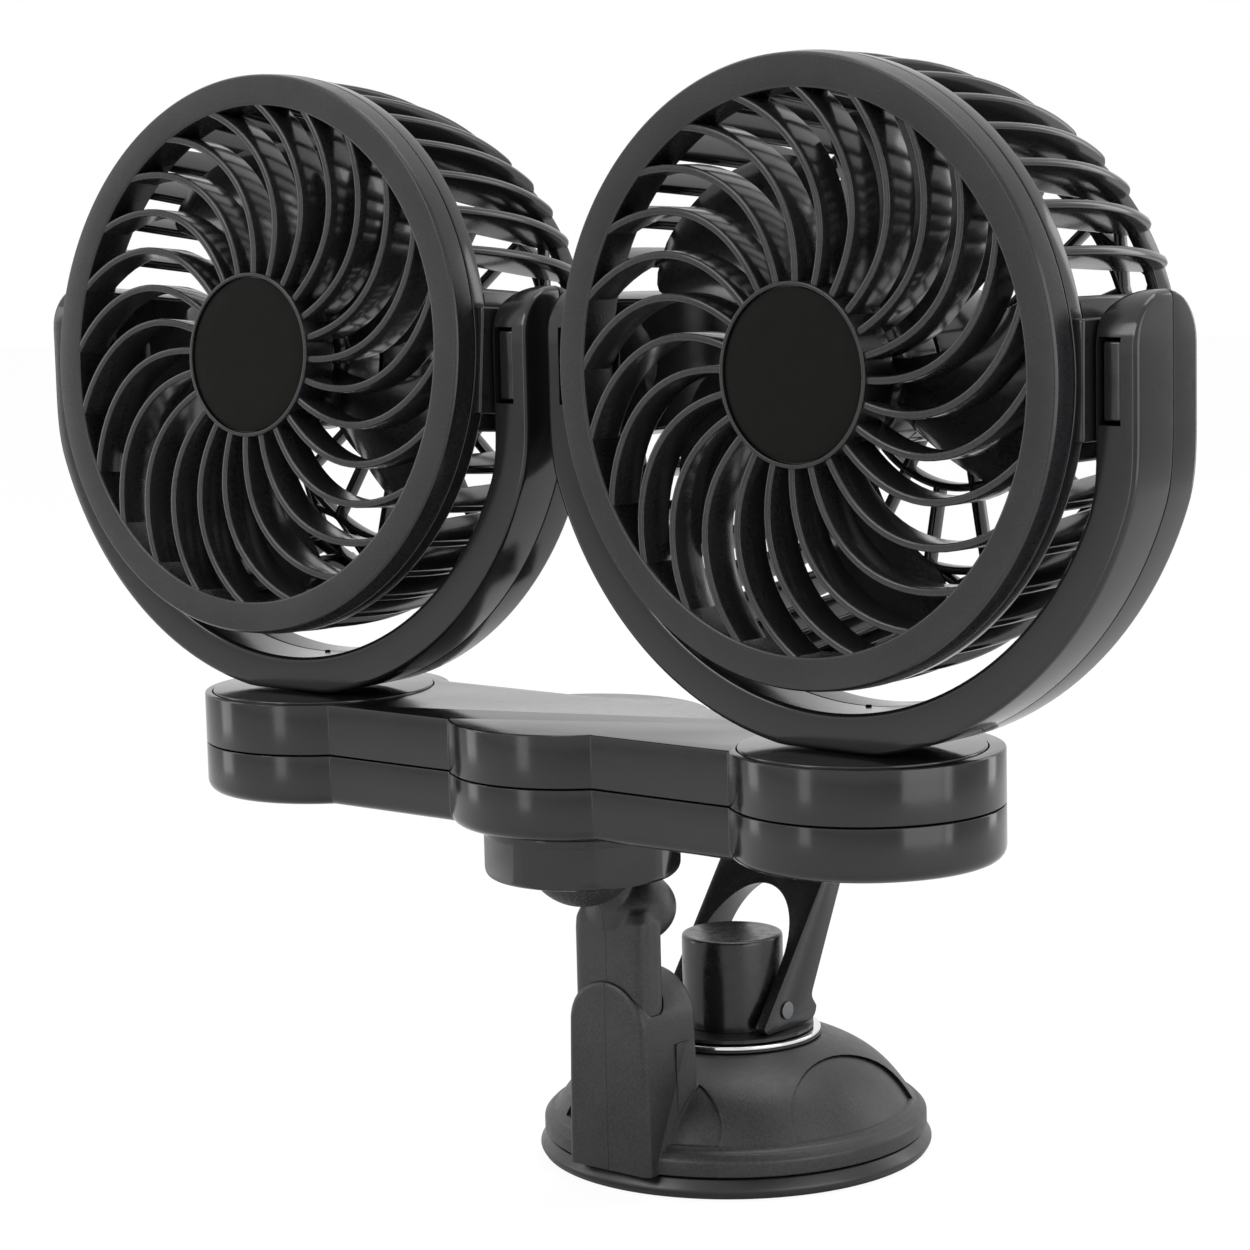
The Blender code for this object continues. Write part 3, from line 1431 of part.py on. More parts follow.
def add_ball_joint(materials, group, root):
    """Everything round the ball's centre."""
    inner = materials["inner"]
    centre = empty("ball_centre", root, (0, -BALL_FORWARD, BALL_Z), group)
    place(finished(collar_nut(), materials["gloss"]), "collar_nut", group, centre)
    place(finished(ball_collet(), inner), "ball_collet", group, centre)
    place(finished(ball_cap(), inner), "ball_cap", group, centre)
    place(finished(ball_arm(), materials["satin"]), "ball_arm", group, centre)


def add_base(materials, group, root):
    """Cup, housing, post and lever round the cup's axis."""
    satin = materials["satin"]
    place(finished(suction_cup(), materials["rubber"]), "suction_cup", group, root)
    place(finished(base_housing(), satin), "base_housing", group, root)
    place(finished(bright_ring(), materials["bright"]), "bright_ring", group, root)
    place(finished(ring_washer(), materials["inner"]), "ring_washer", group, root)
    place(finished(suction_post(), satin), "suction_post", group, root)
    pin_axis = empty("lever_axis", root, (0, 0, PIN_Z), group)
    place(finished(lever_pin(), materials["steel"]), "lever_pin", group, pin_axis)
    place(finished(lever(), satin), "lever", group, pin_axis)


def main():
    clear_scene()
    materials = {
        "gloss": new_material("Gloss black plastic", (0.012, 0.012, 0.013), 0.16, 0.0),
        "grille": new_material("Grille black plastic", (0.016, 0.016, 0.017), 0.22, 0.0),
        "badge": new_material("Matt badge", (0.006, 0.006, 0.006), 0.45, 0.0),
        "satin": new_material("Satin black plastic", (0.020, 0.020, 0.021), 0.42, 0.0),
        "inner": new_material("Inner plastic", (0.015, 0.015, 0.015), 0.50, 0.0),
        "rubber": new_material("Rubber", (0.018, 0.018, 0.018), 0.60, 0.0),
        "bright": new_material("Bright plated ring", (0.80, 0.80, 0.82), 0.12, 1.0),
        "steel": new_material("Steel", (0.45, 0.45, 0.46), 0.30, 1.0),
    }
    group = new_collection("dual_head_fan")
    root = empty("fan_root", None, (0, 0, 0), group)
    meshes = head_meshes(materials)
    add_head("left", -1, meshes, group, root)
    add_head("right", 1, meshes, group, root)
    add_bar(materials, group, root)
    add_ball_joint(materials, group, root)
    add_base(materials, group, root)


main()
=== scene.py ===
"""Looks of the dual head dashboard fan: finer meshes and moulded, plated and rubber finishes, in metres."""

import enum
import json
import logging
import math
from dataclasses import dataclass
from math import cos, pi, radians, sin, sqrt
from typing import Any, Iterable, Sequence

import bmesh
import bpy
from mathutils import Matrix, Vector


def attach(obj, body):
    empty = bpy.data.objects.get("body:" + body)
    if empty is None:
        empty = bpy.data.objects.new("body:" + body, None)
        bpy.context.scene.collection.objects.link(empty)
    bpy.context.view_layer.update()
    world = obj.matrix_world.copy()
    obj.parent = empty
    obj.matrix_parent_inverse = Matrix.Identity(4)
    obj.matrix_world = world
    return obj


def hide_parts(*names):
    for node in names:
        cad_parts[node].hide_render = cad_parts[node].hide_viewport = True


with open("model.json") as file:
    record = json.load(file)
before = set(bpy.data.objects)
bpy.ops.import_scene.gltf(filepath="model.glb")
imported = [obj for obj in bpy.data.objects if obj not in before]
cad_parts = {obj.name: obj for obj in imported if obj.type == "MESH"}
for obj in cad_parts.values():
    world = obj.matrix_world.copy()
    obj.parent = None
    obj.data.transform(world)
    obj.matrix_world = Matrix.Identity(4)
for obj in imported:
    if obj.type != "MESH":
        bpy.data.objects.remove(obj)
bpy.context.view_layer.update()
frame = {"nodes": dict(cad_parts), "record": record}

LOG = logging.getLogger("fan")
MM = 0.001
# Clearance between parts that move or fit on each other, and the wider one round the post.
GAP = 0.0003
POST_GAP = 0.0004
# How far the cutter of a cross bore reaches each way.
BORE_REACH = 0.02
# The softening of a shell's edge at its seam.
SEAM_SOFT = 0.00025
# How far a cutter reaches past what it cuts.
CLEAR = 0.004
# Edges that turn by more than this stay sharp.
SMOOTH_DEG = 32.0
SHARPER_DEG = 22.0
# Most of a side that one rounded corner may use, and most of a half side that a section's corner may.
CORNER_REACH = 0.49
CORNER_LIMIT = 0.96
# Rooms for the screws: the sunk head's depth and radius, the shank's radius, and the shank past the seam.
SCREW_SINK = 0.0019
HEAD_ROOM_R = 0.0029
SHANK_ROOM_R = 0.0016
SCREW_PAST = 0.0045
# Sizes in millimetres of the tone's clouds, of the fine clouds, of the sink waves and of a metal's clouds.
BROAD_MM = 20
FINE_MM = 2
WAVE_MM = 26
CLOUD_MM = 3
# Spans of two noises added up, for the roughness and for the tone, and of one noise for a metal.
ROUGH_SPAN = (0.7, 1.3)
TONE_SPAN = (0.75, 1.25)
CLOUD_SPAN = (0.3, 0.7)
X_WAY = Vector((1, 0, 0))
Y_WAY = Vector((0, 1, 0))
UP = Vector((0, 0, 1))
# Turns X, Y and Z into Y, Z and X, to stand an outline up.
STAND_UP = Matrix(((0, 0, 1, 0), (1, 0, 0, 0), (0, 1, 0, 0), (0, 0, 0, 1)))
Pair = tuple[float, float]
Triple = tuple[float, float, float]
Outline = list[Pair]
Ring = list[Vector]
Shape = bpy.types.Object
Tree = bpy.types.NodeTree
Socket = bpy.types.NodeSocket


class Join(enum.Enum):
    """What a tool does to its target."""

    CUT = "DIFFERENCE"
    FUSE = "UNION"


class Side(enum.Enum):
    """Which of the two heads, or which end of a head."""

    LEFT = "left"
    RIGHT = "right"


class Slot(enum.Enum):
    """The record's material slots."""

    GRILLE = "grille_black"
    GLOSS = "gloss_black"
    SATIN = "satin_black"
    BADGE = "badge"
    STEEL = "steel"
    BRIGHT = "bright"
    RUBBER = "rubber"


# Where each impeller stood when the photograph was taken, in degrees.
BLADE_PHASES = {Side.LEFT: 34.0, Side.RIGHT: 54.0}


# Outlines and meshes


def arc(radius: float, start: float, end: float, count: int, centre: Pair = (0.0, 0.0)) -> Outline:
    """Points of an arc with both ends.

    Args:
        radius: radius of the arc.
        start: first angle in degrees.
        end: last angle in degrees.
        count: how many steps lie between the ends.
        centre: middle of the arc.

    Returns:
        count + 1 points.
    """
    angles = [radians(start + (end - start) * index / count) for index in range(count + 1)]
    return [(centre[0] + radius * cos(angle), centre[1] + radius * sin(angle)) for angle in angles]


def rounded(points: Outline, radii: float | Sequence[float], steps: int = 4) -> Outline:
    """Rounds the corners of a closed outline.

    Args:
        points: corners of the outline.
        radii: one radius, or one for each corner; zero keeps a corner.
        steps: faces on each rounded corner.

    Returns:
        The new outline, with steps + 1 points for each rounded corner.
    """
    each = [radii] * len(points) if isinstance(radii, float) else list(radii)
    result: Outline = []
    for index, (corner, radius) in enumerate(zip(points, each)):
        if radius <= 0:
            result.append(corner)
            continue
        here = Vector(corner)
        back = Vector(points[index - 1]) - here
        ahead = Vector(points[(index + 1) % len(points)]) - here
        half = back.angle(ahead) / 2
        reach = min(radius / math.tan(half), back.length * CORNER_REACH, ahead.length * CORNER_REACH)
        first = here + back.normalized() * reach
        last = here + ahead.normalized() * reach
        for step in range(steps + 1):
            part = step / steps
            spot = first * (1 - part) ** 2 + here * 2 * part * (1 - part) + last * part**2
            result.append((spot.x, spot.y))
    return result


def box_section(
    centre: Vector,
    across: Vector,
    along: Vector,
    half_across: float,
    half_along: float,
    corner: float,
    steps: int = 3,
) -> Ring:
    """A rounded rectangle in space.

    Args:
        centre: its middle.
        across: unit direction of its first side.
        along: unit direction of its second side.
        half_across: half of its first side.
        half_along: half of its second side.
        corner: corner radius, limited by the sides.
        steps: faces on each corner.

    Returns:
        The ring of points.
    """
    corner = min(corner, half_across * CORNER_LIMIT, half_along * CORNER_LIMIT)
    ring = []
    for start, sx, sy in ((0, 1, 1), (90, -1, 1), (180, -1, -1), (270, 1, -1)):
        middle = (sx * (half_across - corner), sy * (half_along - corner))
        for x, y in arc(corner, start, start + 90, steps, middle):
            ring.append(centre + across * x + along * y)
    return ring


def around(count: int, start: float = 0.0) -> list[float]:
    """So many even turns in degrees, from a first one."""
    return [start + 360 * index / count for index in range(count)]


def quarter(radius: float, count: int) -> list[Pair]:
    """Distances of a quarter round's points from its corner's two faces."""
    turns = [radians(90 * index / count) for index in range(count + 1)]
    return [(radius * (1 - sin(turn)), radius * (1 - cos(turn))) for turn in turns]


def polar(radius: float, angle: float, height: float = 0.0) -> Vector:
    """The point at a radius, an angle in radians and a height."""
    return Vector((radius * cos(angle), radius * sin(angle), height))


def rod(radius: float, start: float, end: float) -> Outline:
    """Profile of a plain rod round Z between two heights."""
    return [(0.0, start), (radius, start), (radius, end), (0.0, end)]


def screw_room(foot: float, floor: float) -> Outline:
    """Profile of the room of a screw with a sunk head.

    Args:
        foot: height of the face that the head is sunk in.
        floor: height where the shank's room ends.

    Returns:
        (radius, height) points.
    """
    seat = foot + SCREW_SINK
    shank = [(0.0, floor), (SHANK_ROOM_R, floor), (SHANK_ROOM_R, seat)]
    return shank + [(HEAD_ROOM_R, seat), (HEAD_ROOM_R, foot - CLEAR), (0.0, foot - CLEAR)]


def piece(name: str, form: bmesh.types.BMesh) -> Shape:
    """Makes an object of a form, with its faces turned outwards and shaded smooth.

    Args:
        name: name of the object.
        form: the form, which is used up.

    Returns:
        The object.
    """
    bmesh.ops.recalc_face_normals(form, faces=form.faces)
    mesh = bpy.data.meshes.new(name)
    form.to_mesh(mesh)
    form.free()
    return shaded(linked(name, mesh))


def linked(name: str, data: bpy.types.ID) -> Shape:
    """Puts a mesh, a lamp or a camera in the scene as an object.

    Args:
        name: name of the object.
        data: what the object shows.

    Returns:
        The object.
    """
    obj = bpy.data.objects.new(name, data)
    bpy.context.scene.collection.objects.link(obj)
    return obj


def shaded(obj: Shape, degrees: float = SMOOTH_DEG) -> Shape:
    """Shades an object smooth but for the edges that turn by more than so many degrees.

    Args:
        obj: the object.
        degrees: turn above which an edge stays sharp.

    Returns:
        The object.
    """
    obj.data.shade_smooth()
    obj.data.set_sharp_from_angle(angle=radians(degrees))
    return obj


def loft(name: str, rings: Sequence[Ring], loop: bool = False) -> Shape:
    """Joins rings with equal numbers of points.

    Args:
        name: name of the object.
        rings: the sections in order.
        loop: whether the last ring joins the first; otherwise both ends are capped.

    Returns:
        The object.
    """
    form = bmesh.new()
    made = [[form.verts.new(point) for point in ring] for ring in rings]
    pairs = list(zip(made, made[1:])) + ([(made[-1], made[0])] if loop else [])
    for low, high in pairs:
        for index in range(len(low)):
            after = (index + 1) % len(low)
            form.faces.new((low[index], low[after], high[after], high[index]))
    if not loop:
        form.faces.new(made[0][::-1])
        form.faces.new(made[-1])
    return piece(name, form)


def lathe(name: str, profile: Outline, steps: int, ring: bool = False) -> Shape:
    """Turns a profile round Z.

    Args:
        name: name of the object.
        profile: (radius, height) points; a radius of zero is a pole.
        steps: faces round the axis.
        ring: whether the last point joins the first.

    Returns:
        The object.
    """
    form = bmesh.new()
    turns = [2 * pi * index / steps for index in range(steps)]
    rows = []
    for radius, height in profile:
        if radius < MM / 1000:
            rows.append([form.verts.new((0, 0, height))] * steps)
        else:
            rows.append([form.verts.new(polar(radius, turn, height)) for turn in turns])
    pairs = list(zip(rows, rows[1:])) + ([(rows[-1], rows[0])] if ring else [])
    for low, high in pairs:
        for index in range(steps):
            after = (index + 1) % steps
            corners = [low[index], low[after], high[after], high[index]]
            form.faces.new(list(dict.fromkeys(corners)))
    return piece(name, form)


def stacked(name: str, levels: Iterable[tuple[Outline, float]]) -> Shape:
    """Lofts flat outlines that lie over each other, each with its height."""
    return loft(name, [[Vector((x, y, height)) for x, y in outline] for outline, height in levels])


def joined(name: str, parts: Sequence[Shape]) -> Shape:
    """Gathers several objects in one mesh.

    Args:
        name: name of the object.
        parts: the objects, which are used up.

    Returns:
        The object.
    """
    form = bmesh.new()
    for part in parts:
        part.data.transform(part.matrix_world)
        form.from_mesh(part.data)
        bpy.data.meshes.remove(part.data)
    mesh = bpy.data.meshes.new(name)
    form.to_mesh(mesh)
    form.free()
    return shaded(linked(name, mesh))


def evaluated(obj: Shape) -> Shape:
    """Makes an object's modifiers part of its mesh.

    Args:
        obj: the object.

    Returns:
        The object.
    """
    bpy.context.view_layer.update()
    mesh = bpy.data.meshes.new_from_object(obj.evaluated_get(bpy.context.evaluated_depsgraph_get()))
    old = obj.data
    obj.modifiers.clear()
    obj.data = mesh
    bpy.data.meshes.remove(old)
    return obj


def combined(target: Shape, tool: Shape, how: Join = Join.CUT) -> Shape:
    """Cuts a target with a tool or fuses them, and removes the tool.

    Args:
        target: the object that stays.
        tool: the object that is used up.
        how: whether the tool cuts or is fused.

    Returns:
        The target.
    """
    change = target.modifiers.new(how.name.title(), "BOOLEAN")
    change.operation = how.value
    change.solver = "EXACT"
    change.object = tool
    evaluated(target)
    bpy.data.meshes.remove(tool.data)
    return shaded(target)


def softened(obj: Shape, width: float, segments: int = 3, degrees: float = 30.0) -> Shape:
    """Rounds an object's sharp edges.

    Args:
        obj: the object.
        width: width of the rounding.
        segments: faces across it.
        degrees: least turn of an edge that is rounded.

    Returns:
        The object.
    """
    bevel = obj.modifiers.new("Soft edges", "BEVEL")
    bevel.width = width
    bevel.segments = segments
    bevel.limit_method = "ANGLE"
    bevel.angle_limit = radians(degrees)
    bevel.harden_normals = False
    evaluated(obj)
    return shaded(obj)


def copies(name: str, source: Shape, angles: Iterable[float]) -> Shape:
    """Repeats an object round Z at the given angles, in degrees, as one mesh.

    Args:
        name: name of the object.
        source: the object to repeat, which is used up.
        angles: angles in degrees.

    Returns:
        The object.
    """
    parts = []
    for angle in angles:
        part = linked(name, source.data.copy())
        part.data.transform(Matrix.Rotation(radians(angle), 4, "Z"))
        parts.append(part)
    bpy.data.meshes.remove(source.data)
    return joined(name, parts)


def block(name: str, low: Sequence[float], high: Sequence[float]) -> Shape:
    """A block between two corners, used as a cutter or softened afterwards."""
    outline = [(low[0], low[1]), (high[0], low[1]), (high[0], high[1]), (low[0], high[1])]
    return stacked(name, [(outline, low[2]), (outline, high[2])])


def prism(name: str, outline: Outline, low: float, high: float) -> Shape:
    """A flat outline with a height."""
    return stacked(name, [(outline, low), (outline, high)])


def moved(obj: Shape, matrix: Matrix) -> Shape:
    """Moves a mesh inside its object."""
    obj.data.transform(matrix)
    return obj


def turned(obj: Shape, degrees: float, axis: str) -> Shape:
    """Turns a mesh inside its object round X, Y or Z."""
    return moved(obj, Matrix.Rotation(radians(degrees), 4, axis))


def shifted(obj: Shape, x: float, y: float, z: float) -> Shape:
    """Shifts a mesh inside its object."""
    return moved(obj, Matrix.Translation((x, y, z)))


def cross_bore(radius: float, height: float) -> Shape:
    """Cutter for a bore along X at a height."""
    bore = lathe("bore", rod(radius, -BORE_REACH, BORE_REACH), 32)
    return shifted(turned(bore, 90, "Y"), 0, 0, height)


# Finishes


def linear(code: str) -> tuple[float, float, float, float]:
    """Turns an sRGB hex colour to the linear colour that a shader takes.

    Args:
        code: six hex digits after a hash.

    Returns:
        Linear red, green, blue and an alpha of 1.
    """
    channels = []
    for start in (1, 3, 5):
        share = int(code[start : start + 2], 16) / 255
        channels.append(share / 12.92 if share <= 0.04045 else ((share + 0.055) / 1.055) ** 2.4)
    red, green, blue = channels
    return red, green, blue, 1.0


def add_node(
    tree: Tree,
    kind: str,
    values: dict[str | int, Any] | None = None,
    links: dict[str | int, Socket] | None = None,
    **settings: Any,
) -> bpy.types.Node:
    """Adds a node with its settings, socket values and links.

    Args:
        tree: the node tree.
        kind: type name of the node.
        values: constant values by input name or number.
        links: output sockets by input name or number.
        settings: the node's own properties.

    Returns:
        The node.
    """
    node = tree.nodes.new(kind)
    for name, value in settings.items():
        setattr(node, name, value)
    for name, value in (values or {}).items():
        node.inputs[name].default_value = value
    for name, source in (links or {}).items():
        tree.links.new(source, node.inputs[name])
    return node


def noise(tree: Tree, place: Socket, size_mm: float, detail: float) -> Socket:
    """A noise texture whose clouds are so many millimetres wide."""
    values = {"Scale": 1 / (size_mm * MM), "Detail": detail}
    return add_node(tree, "ShaderNodeTexNoise", values, {"Vector": place}).outputs["Fac"]


def spread(tree: Tree, value: Socket, span: Sequence[float], low: float, high: float) -> Socket:
    """Maps a span of values to the range from low to high."""
    values = {"From Min": span[0], "From Max": span[1], "To Min": low, "To Max": high}
    return add_node(tree, "ShaderNodeMapRange", values, {"Value": value}).outputs["Result"]


def bumped(tree: Tree, height: Socket, depth_mm: float, below: Socket | None = None) -> Socket:
    """A relief of so many millimetres, laid over another one if there is one.

    Args:
        tree: the material's nodes.
        height: where it rises.
        depth_mm: its depth.
        below: the relief under it.

    Returns:
        The relief's normal.
    """
    links = {"Height": height}
    if below is not None:
        links["Normal"] = below
    return add_node(tree, "ShaderNodeBump", {"Distance": depth_mm * MM, "Strength": 1.0}, links).outputs[0]


class Grain(enum.Enum):
    """How the mould's or the part's surface was made."""

    POLISHED = "polished"
    SPARKED = "spark eroded"
    KNURLED = "coarse pitted"


@dataclass(frozen=True)
class MouldedPlastic:
    """Injection moulded plastic or rubber, whose skin copies the mould's surface.

    Attributes:
        name: common name of the material and how it was made.
        colour: sRGB hex colour of the pigment.
        roughness: mean roughness.
        uneven: how much the roughness wanders where hands and dust have dulled it.
        grain: how the mould was finished.
        grain_mm: width of one grain.
        grain_depth_mm: depth of one grain.
        sink_mm: depth of the slow waves that cooling leaves.
        seam_mm: width of the mould's parting line at the piece's own X of zero, or zero for none.
        ior: refractive index.
        mottle: how much the pigment's tone wanders, by the grain and over about 20 mm.
    """

    name: str
    colour: str
    roughness: float
    uneven: float
    grain: Grain
    grain_mm: float
    grain_depth_mm: float
    sink_mm: float = 0.0
    seam_mm: float = 0.0
    ior: float = 1.5
    mottle: float = 0.14

    def material(self) -> bpy.types.Material:
        """Builds the material.

        Returns:
            The material, with a Principled shader.
        """
        made = bpy.data.materials.new(self.name)
        made.use_nodes = True
        tree = made.node_tree
        shader = tree.nodes["Principled BSDF"]
        shader.inputs["IOR"].default_value = self.ior
        place = add_node(tree, "ShaderNodeTexCoord").outputs["Object"]
        self.add_tone(tree, shader, place)
        self.add_relief(tree, shader, place)
        return made

    def add_tone(self, tree: Tree, shader: bpy.types.Node, place: Socket) -> None:
        """Lets the colour and the roughness wander a little over about 20 mm and over about 2 mm.

        Args:
            tree: the material's nodes.
            shader: its Principled shader.
            place: the piece's own coordinates.
        """
        broad = noise(tree, place, BROAD_MM, 4.0)
        fine = noise(tree, place, FINE_MM, 3.0)
        both = add_node(tree, "ShaderNodeMath", {}, {0: broad, 1: fine}, operation="ADD").outputs[0]
        low, high = self.roughness - self.uneven, self.roughness + self.uneven
        tree.links.new(spread(tree, both, ROUGH_SPAN, low, high), shader.inputs["Roughness"])
        specks = noise(tree, place, self.grain_mm, 2.0)
        mixed = add_node(tree, "ShaderNodeMath", {}, {0: broad, 1: specks}, operation="ADD").outputs[0]
        share = spread(tree, mixed, TONE_SPAN, 0.0, 1.0)
        deep = linear(self.colour)[:3]
        dark, pale = (tuple((1 + way * self.mottle) * value for value in deep) + (1.0,) for way in (-1, 1))
        tone = add_node(tree, "ShaderNodeMix", {"A": dark, "B": pale}, {"Factor": share}, data_type="RGBA")
        tree.links.new(tone.outputs["Result"], shader.inputs["Base Color"])

    def add_relief(self, tree: Tree, shader: bpy.types.Node, place: Socket) -> None:
        """Adds the mould's grain, the sink waves and the parting line as one chain of bumps.

        Args:
            tree: the material's nodes.
            shader: its Principled shader.
            place: the piece's own coordinates.
        """
        from_place = {"Vector": place}
        if self.grain is Grain.KNURLED:
            pits = add_node(tree, "ShaderNodeTexVoronoi", {"Scale": 1 / (self.grain_mm * MM)}, from_place)
            grain = pits.outputs["Distance"]
        else:
            grain = noise(tree, place, self.grain_mm, 2.0)
        bump = bumped(tree, grain, self.grain_depth_mm)
        if self.sink_mm:
            bump = bumped(tree, noise(tree, place, WAVE_MM, 0.0), self.sink_mm, bump)
        if self.seam_mm:
            parts = add_node(tree, "ShaderNodeSeparateXYZ", {}, from_place)
            away = add_node(tree, "ShaderNodeMath", {}, {0: parts.outputs["X"]}, operation="ABSOLUTE")
            ridge = spread(tree, away.outputs[0], (0.0, self.seam_mm * MM), 1.0, 0.0)
            bump = bumped(tree, ridge, self.seam_mm, bump)
        tree.links.new(bump, shader.inputs["Normal"])


@dataclass(frozen=True)
class PlatedMetal:
    """Bright or dull metal, plated, drawn or rolled.

    Attributes:
        name: common name of the metal and how it was finished.
        colour: sRGB hex colour of its reflection.
        roughness: mean roughness.
        uneven: how much the roughness wanders.
        line_mm: spacing of the fine lines that turning or drawing leaves.
        line_depth_mm: depth of those lines.
    """

    name: str
    colour: str
    roughness: float
    uneven: float
    line_mm: float
    line_depth_mm: float

    def material(self) -> bpy.types.Material:
        """Builds the material.

        Returns:
            The material, with a metallic Principled shader.
        """
        made = bpy.data.materials.new(self.name)
        made.use_nodes = True
        tree = made.node_tree
        shader = tree.nodes["Principled BSDF"]
        shader.inputs["Base Color"].default_value = linear(self.colour)
        shader.inputs["Metallic"].default_value = 1.0
        place = add_node(tree, "ShaderNodeTexCoord").outputs["Object"]
        cloud = noise(tree, place, CLOUD_MM, 3.0)
        low, high = self.roughness - self.uneven, self.roughness + self.uneven
        tree.links.new(spread(tree, cloud, CLOUD_SPAN, low, high), shader.inputs["Roughness"])
        # A wave texture of scale 1 has 20 radians to a unit, so the lines lie a third of line_mm apart.
        lines = add_node(
            tree,
            "ShaderNodeTexWave",
            {"Scale": 1 / (self.line_mm * MM) / 20, "Distortion": 0.4, "Detail": 2.0},
            {"Vector": place},
            wave_type="RINGS",
            rings_direction="Z",
        )
        bump = bumped(tree, lines.outputs["Fac"], self.line_depth_mm)
        tree.links.new(bump, shader.inputs["Normal"])
        return made


class Finish(enum.Enum):
    """Every finish on the fan."""

    # Black ABS from a mirror-polished mould: deep black that mirrors the studio softly, with slow sink waves.
    POLISHED_ABS = MouldedPlastic(
        "Polished black ABS moulding", "#1b1b1c", roughness=0.14, uneven=0.03, grain=Grain.POLISHED,
        grain_mm=0.9, grain_depth_mm=0.001, sink_mm=0.05,
    )
    # The same ABS on the flat top of the bar, where thick walls under it sink most as they cool.
    SHELL_ABS = MouldedPlastic(
        "Polished black ABS shell", "#19191a", roughness=0.15, uneven=0.03, grain=Grain.POLISHED,
        grain_mm=0.9, grain_depth_mm=0.001, sink_mm=0.42,
    )
    # The grille's vanes and the blades behind them: their black is lifted a little as painted sheen, standing
    # in for the light that their faces and edges catch.
    SHEEN_PAINTED_ABS = MouldedPlastic(
        "Black ABS moulding lightened as painted sheen", "#262627", roughness=0.16, uneven=0.04,
        grain=Grain.POLISHED, grain_mm=0.9, grain_depth_mm=0.001, sink_mm=0.05, mottle=0.3,
    )
    # Black ABS from a stoned mould: grille rings and lever have a broad dark grey sheen instead of a mirror.
    SATIN_ABS = MouldedPlastic(
        "Satin black ABS moulding", "#18181a", roughness=0.27, uneven=0.025, grain=Grain.SPARKED,
        grain_mm=0.5, grain_depth_mm=0.003, sink_mm=0.03, mottle=0.45,
    )
    # Black ABS from a spark eroded mould: an even grain, dull grey in the light, with a parting line.
    # The real grain is about 0.1 mm wide and is drawn 0.5 mm wide, so that it shows.
    GRAINED_ABS = MouldedPlastic(
        "Fine grained black ABS moulding", "#1e1e1f", roughness=0.42, uneven=0.05, grain=Grain.SPARKED,
        grain_mm=0.5, grain_depth_mm=0.03, sink_mm=0.05, seam_mm=0.28, mottle=0.8,
    )
    # The ball is cast rough so that its seat grips it: the pits are about 0.7 mm wide.
    PITTED_ABS = MouldedPlastic(
        "Coarse pitted black ABS", "#151515", roughness=0.5, uneven=0.05, grain=Grain.KNURLED,
        grain_mm=0.7, grain_depth_mm=0.15,
    )
    # A lacquered disc pressed into each hub: its low index leaves plain black with hardly any shine.
    BADGE_ABS = MouldedPlastic(
        "Matt black lacquered disc", "#0d0d0b", roughness=0.7, uneven=0.04, grain=Grain.SPARKED,
        grain_mm=0.4, grain_depth_mm=0.004, ior=1.2,
    )
    # The post is handled at each use, which has wiped its grain to an uneven shine.
    WIPED_ABS = MouldedPlastic(
        "Hand-worn black ABS moulding", "#1a1a1b", roughness=0.24, uneven=0.12, grain=Grain.SPARKED,
        grain_mm=0.6, grain_depth_mm=0.007, sink_mm=0.08,
    )
    # Polyamide inside the joints: dull, lightly waxy black.
    POLYAMIDE = MouldedPlastic(
        "Moulded black polyamide", "#141414", roughness=0.42, uneven=0.05, grain=Grain.SPARKED,
        grain_mm=0.4, grain_depth_mm=0.004,
    )
    # Soft plasticised cup: smooth, darker than the housing, with a wide soft highlight.
    SOFT_PVC = MouldedPlastic(
        "Moulded soft black PVC", "#0e0e0f", roughness=0.34, uneven=0.06, grain=Grain.POLISHED,
        grain_mm=1.6, grain_depth_mm=0.006, sink_mm=0.04, ior=1.52,
    )
    # Chromium over nickel on the thin ring: almost white in a light studio.
    CHROME = PlatedMetal(
        "Chrome plated trim ring", "#e6e7ea", roughness=0.1, uneven=0.03, line_mm=0.25,
        line_depth_mm=0.0004,
    )
    # Zinc plated steel of the screws and the pin, dulled to a mid grey, with fine turning lines.
    ZINC_STEEL = PlatedMetal(
        "Zinc plated steel", "#6f7174", roughness=0.42, uneven=0.08, line_mm=0.2,
        line_depth_mm=0.004,
    )
    # Rolled and nickel plated steel of the motor cans: brighter than zinc, with soft drawing lines.
    MOTOR_STEEL = PlatedMetal(
        "Nickel plated steel can", "#b7b8ba", roughness=0.26, uneven=0.06, line_mm=0.35,
        line_depth_mm=0.003,
    )


class Workshop:
    """Keeps one material for each finish and puts pieces on their bodies."""

    def __init__(self) -> None:
        """Makes all the materials."""
        self.materials = {finish: finish.value.material() for finish in Finish}

    def fit(
        self,
        obj: Shape,
        finish: Finish,
        body: str,
        place: Matrix,
        nodes: Sequence[str],
    ) -> Shape:
        """Finishes a piece and puts it in the fan.

        Args:
            obj: the piece, modelled round its own zero point.
            finish: what it is made of.
            body: the body that it moves with.
            place: where its zero point goes.
            nodes: the solids that it stands for.

        Returns:
            The piece.
        """
        obj.data.materials.clear()
        obj.data.materials.append(self.materials[finish])
        obj.matrix_world = place
        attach(obj, body)
        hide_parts(*nodes)
        LOG.info("%s: %s, %d faces, on %s", obj.name, finish.value.name, len(obj.data.polygons), body)
        return obj

    def repaint(self, node: str, finish: Finish) -> None:
        """Gives a solid that stays its finish.

        Args:
            node: name of the solid.
            finish: what it is made of.
        """
        for spot in frame["nodes"][node].material_slots:
            spot.material = self.materials[finish]
        LOG.info("%s: %s, kept solid", node, finish.value.name)


def joint(name: str) -> dict[str, Any]:
    """The record's entry of a joint."""
    return next(entry for entry in frame["record"]["behaviour"]["joints"] if entry["name"] == name)


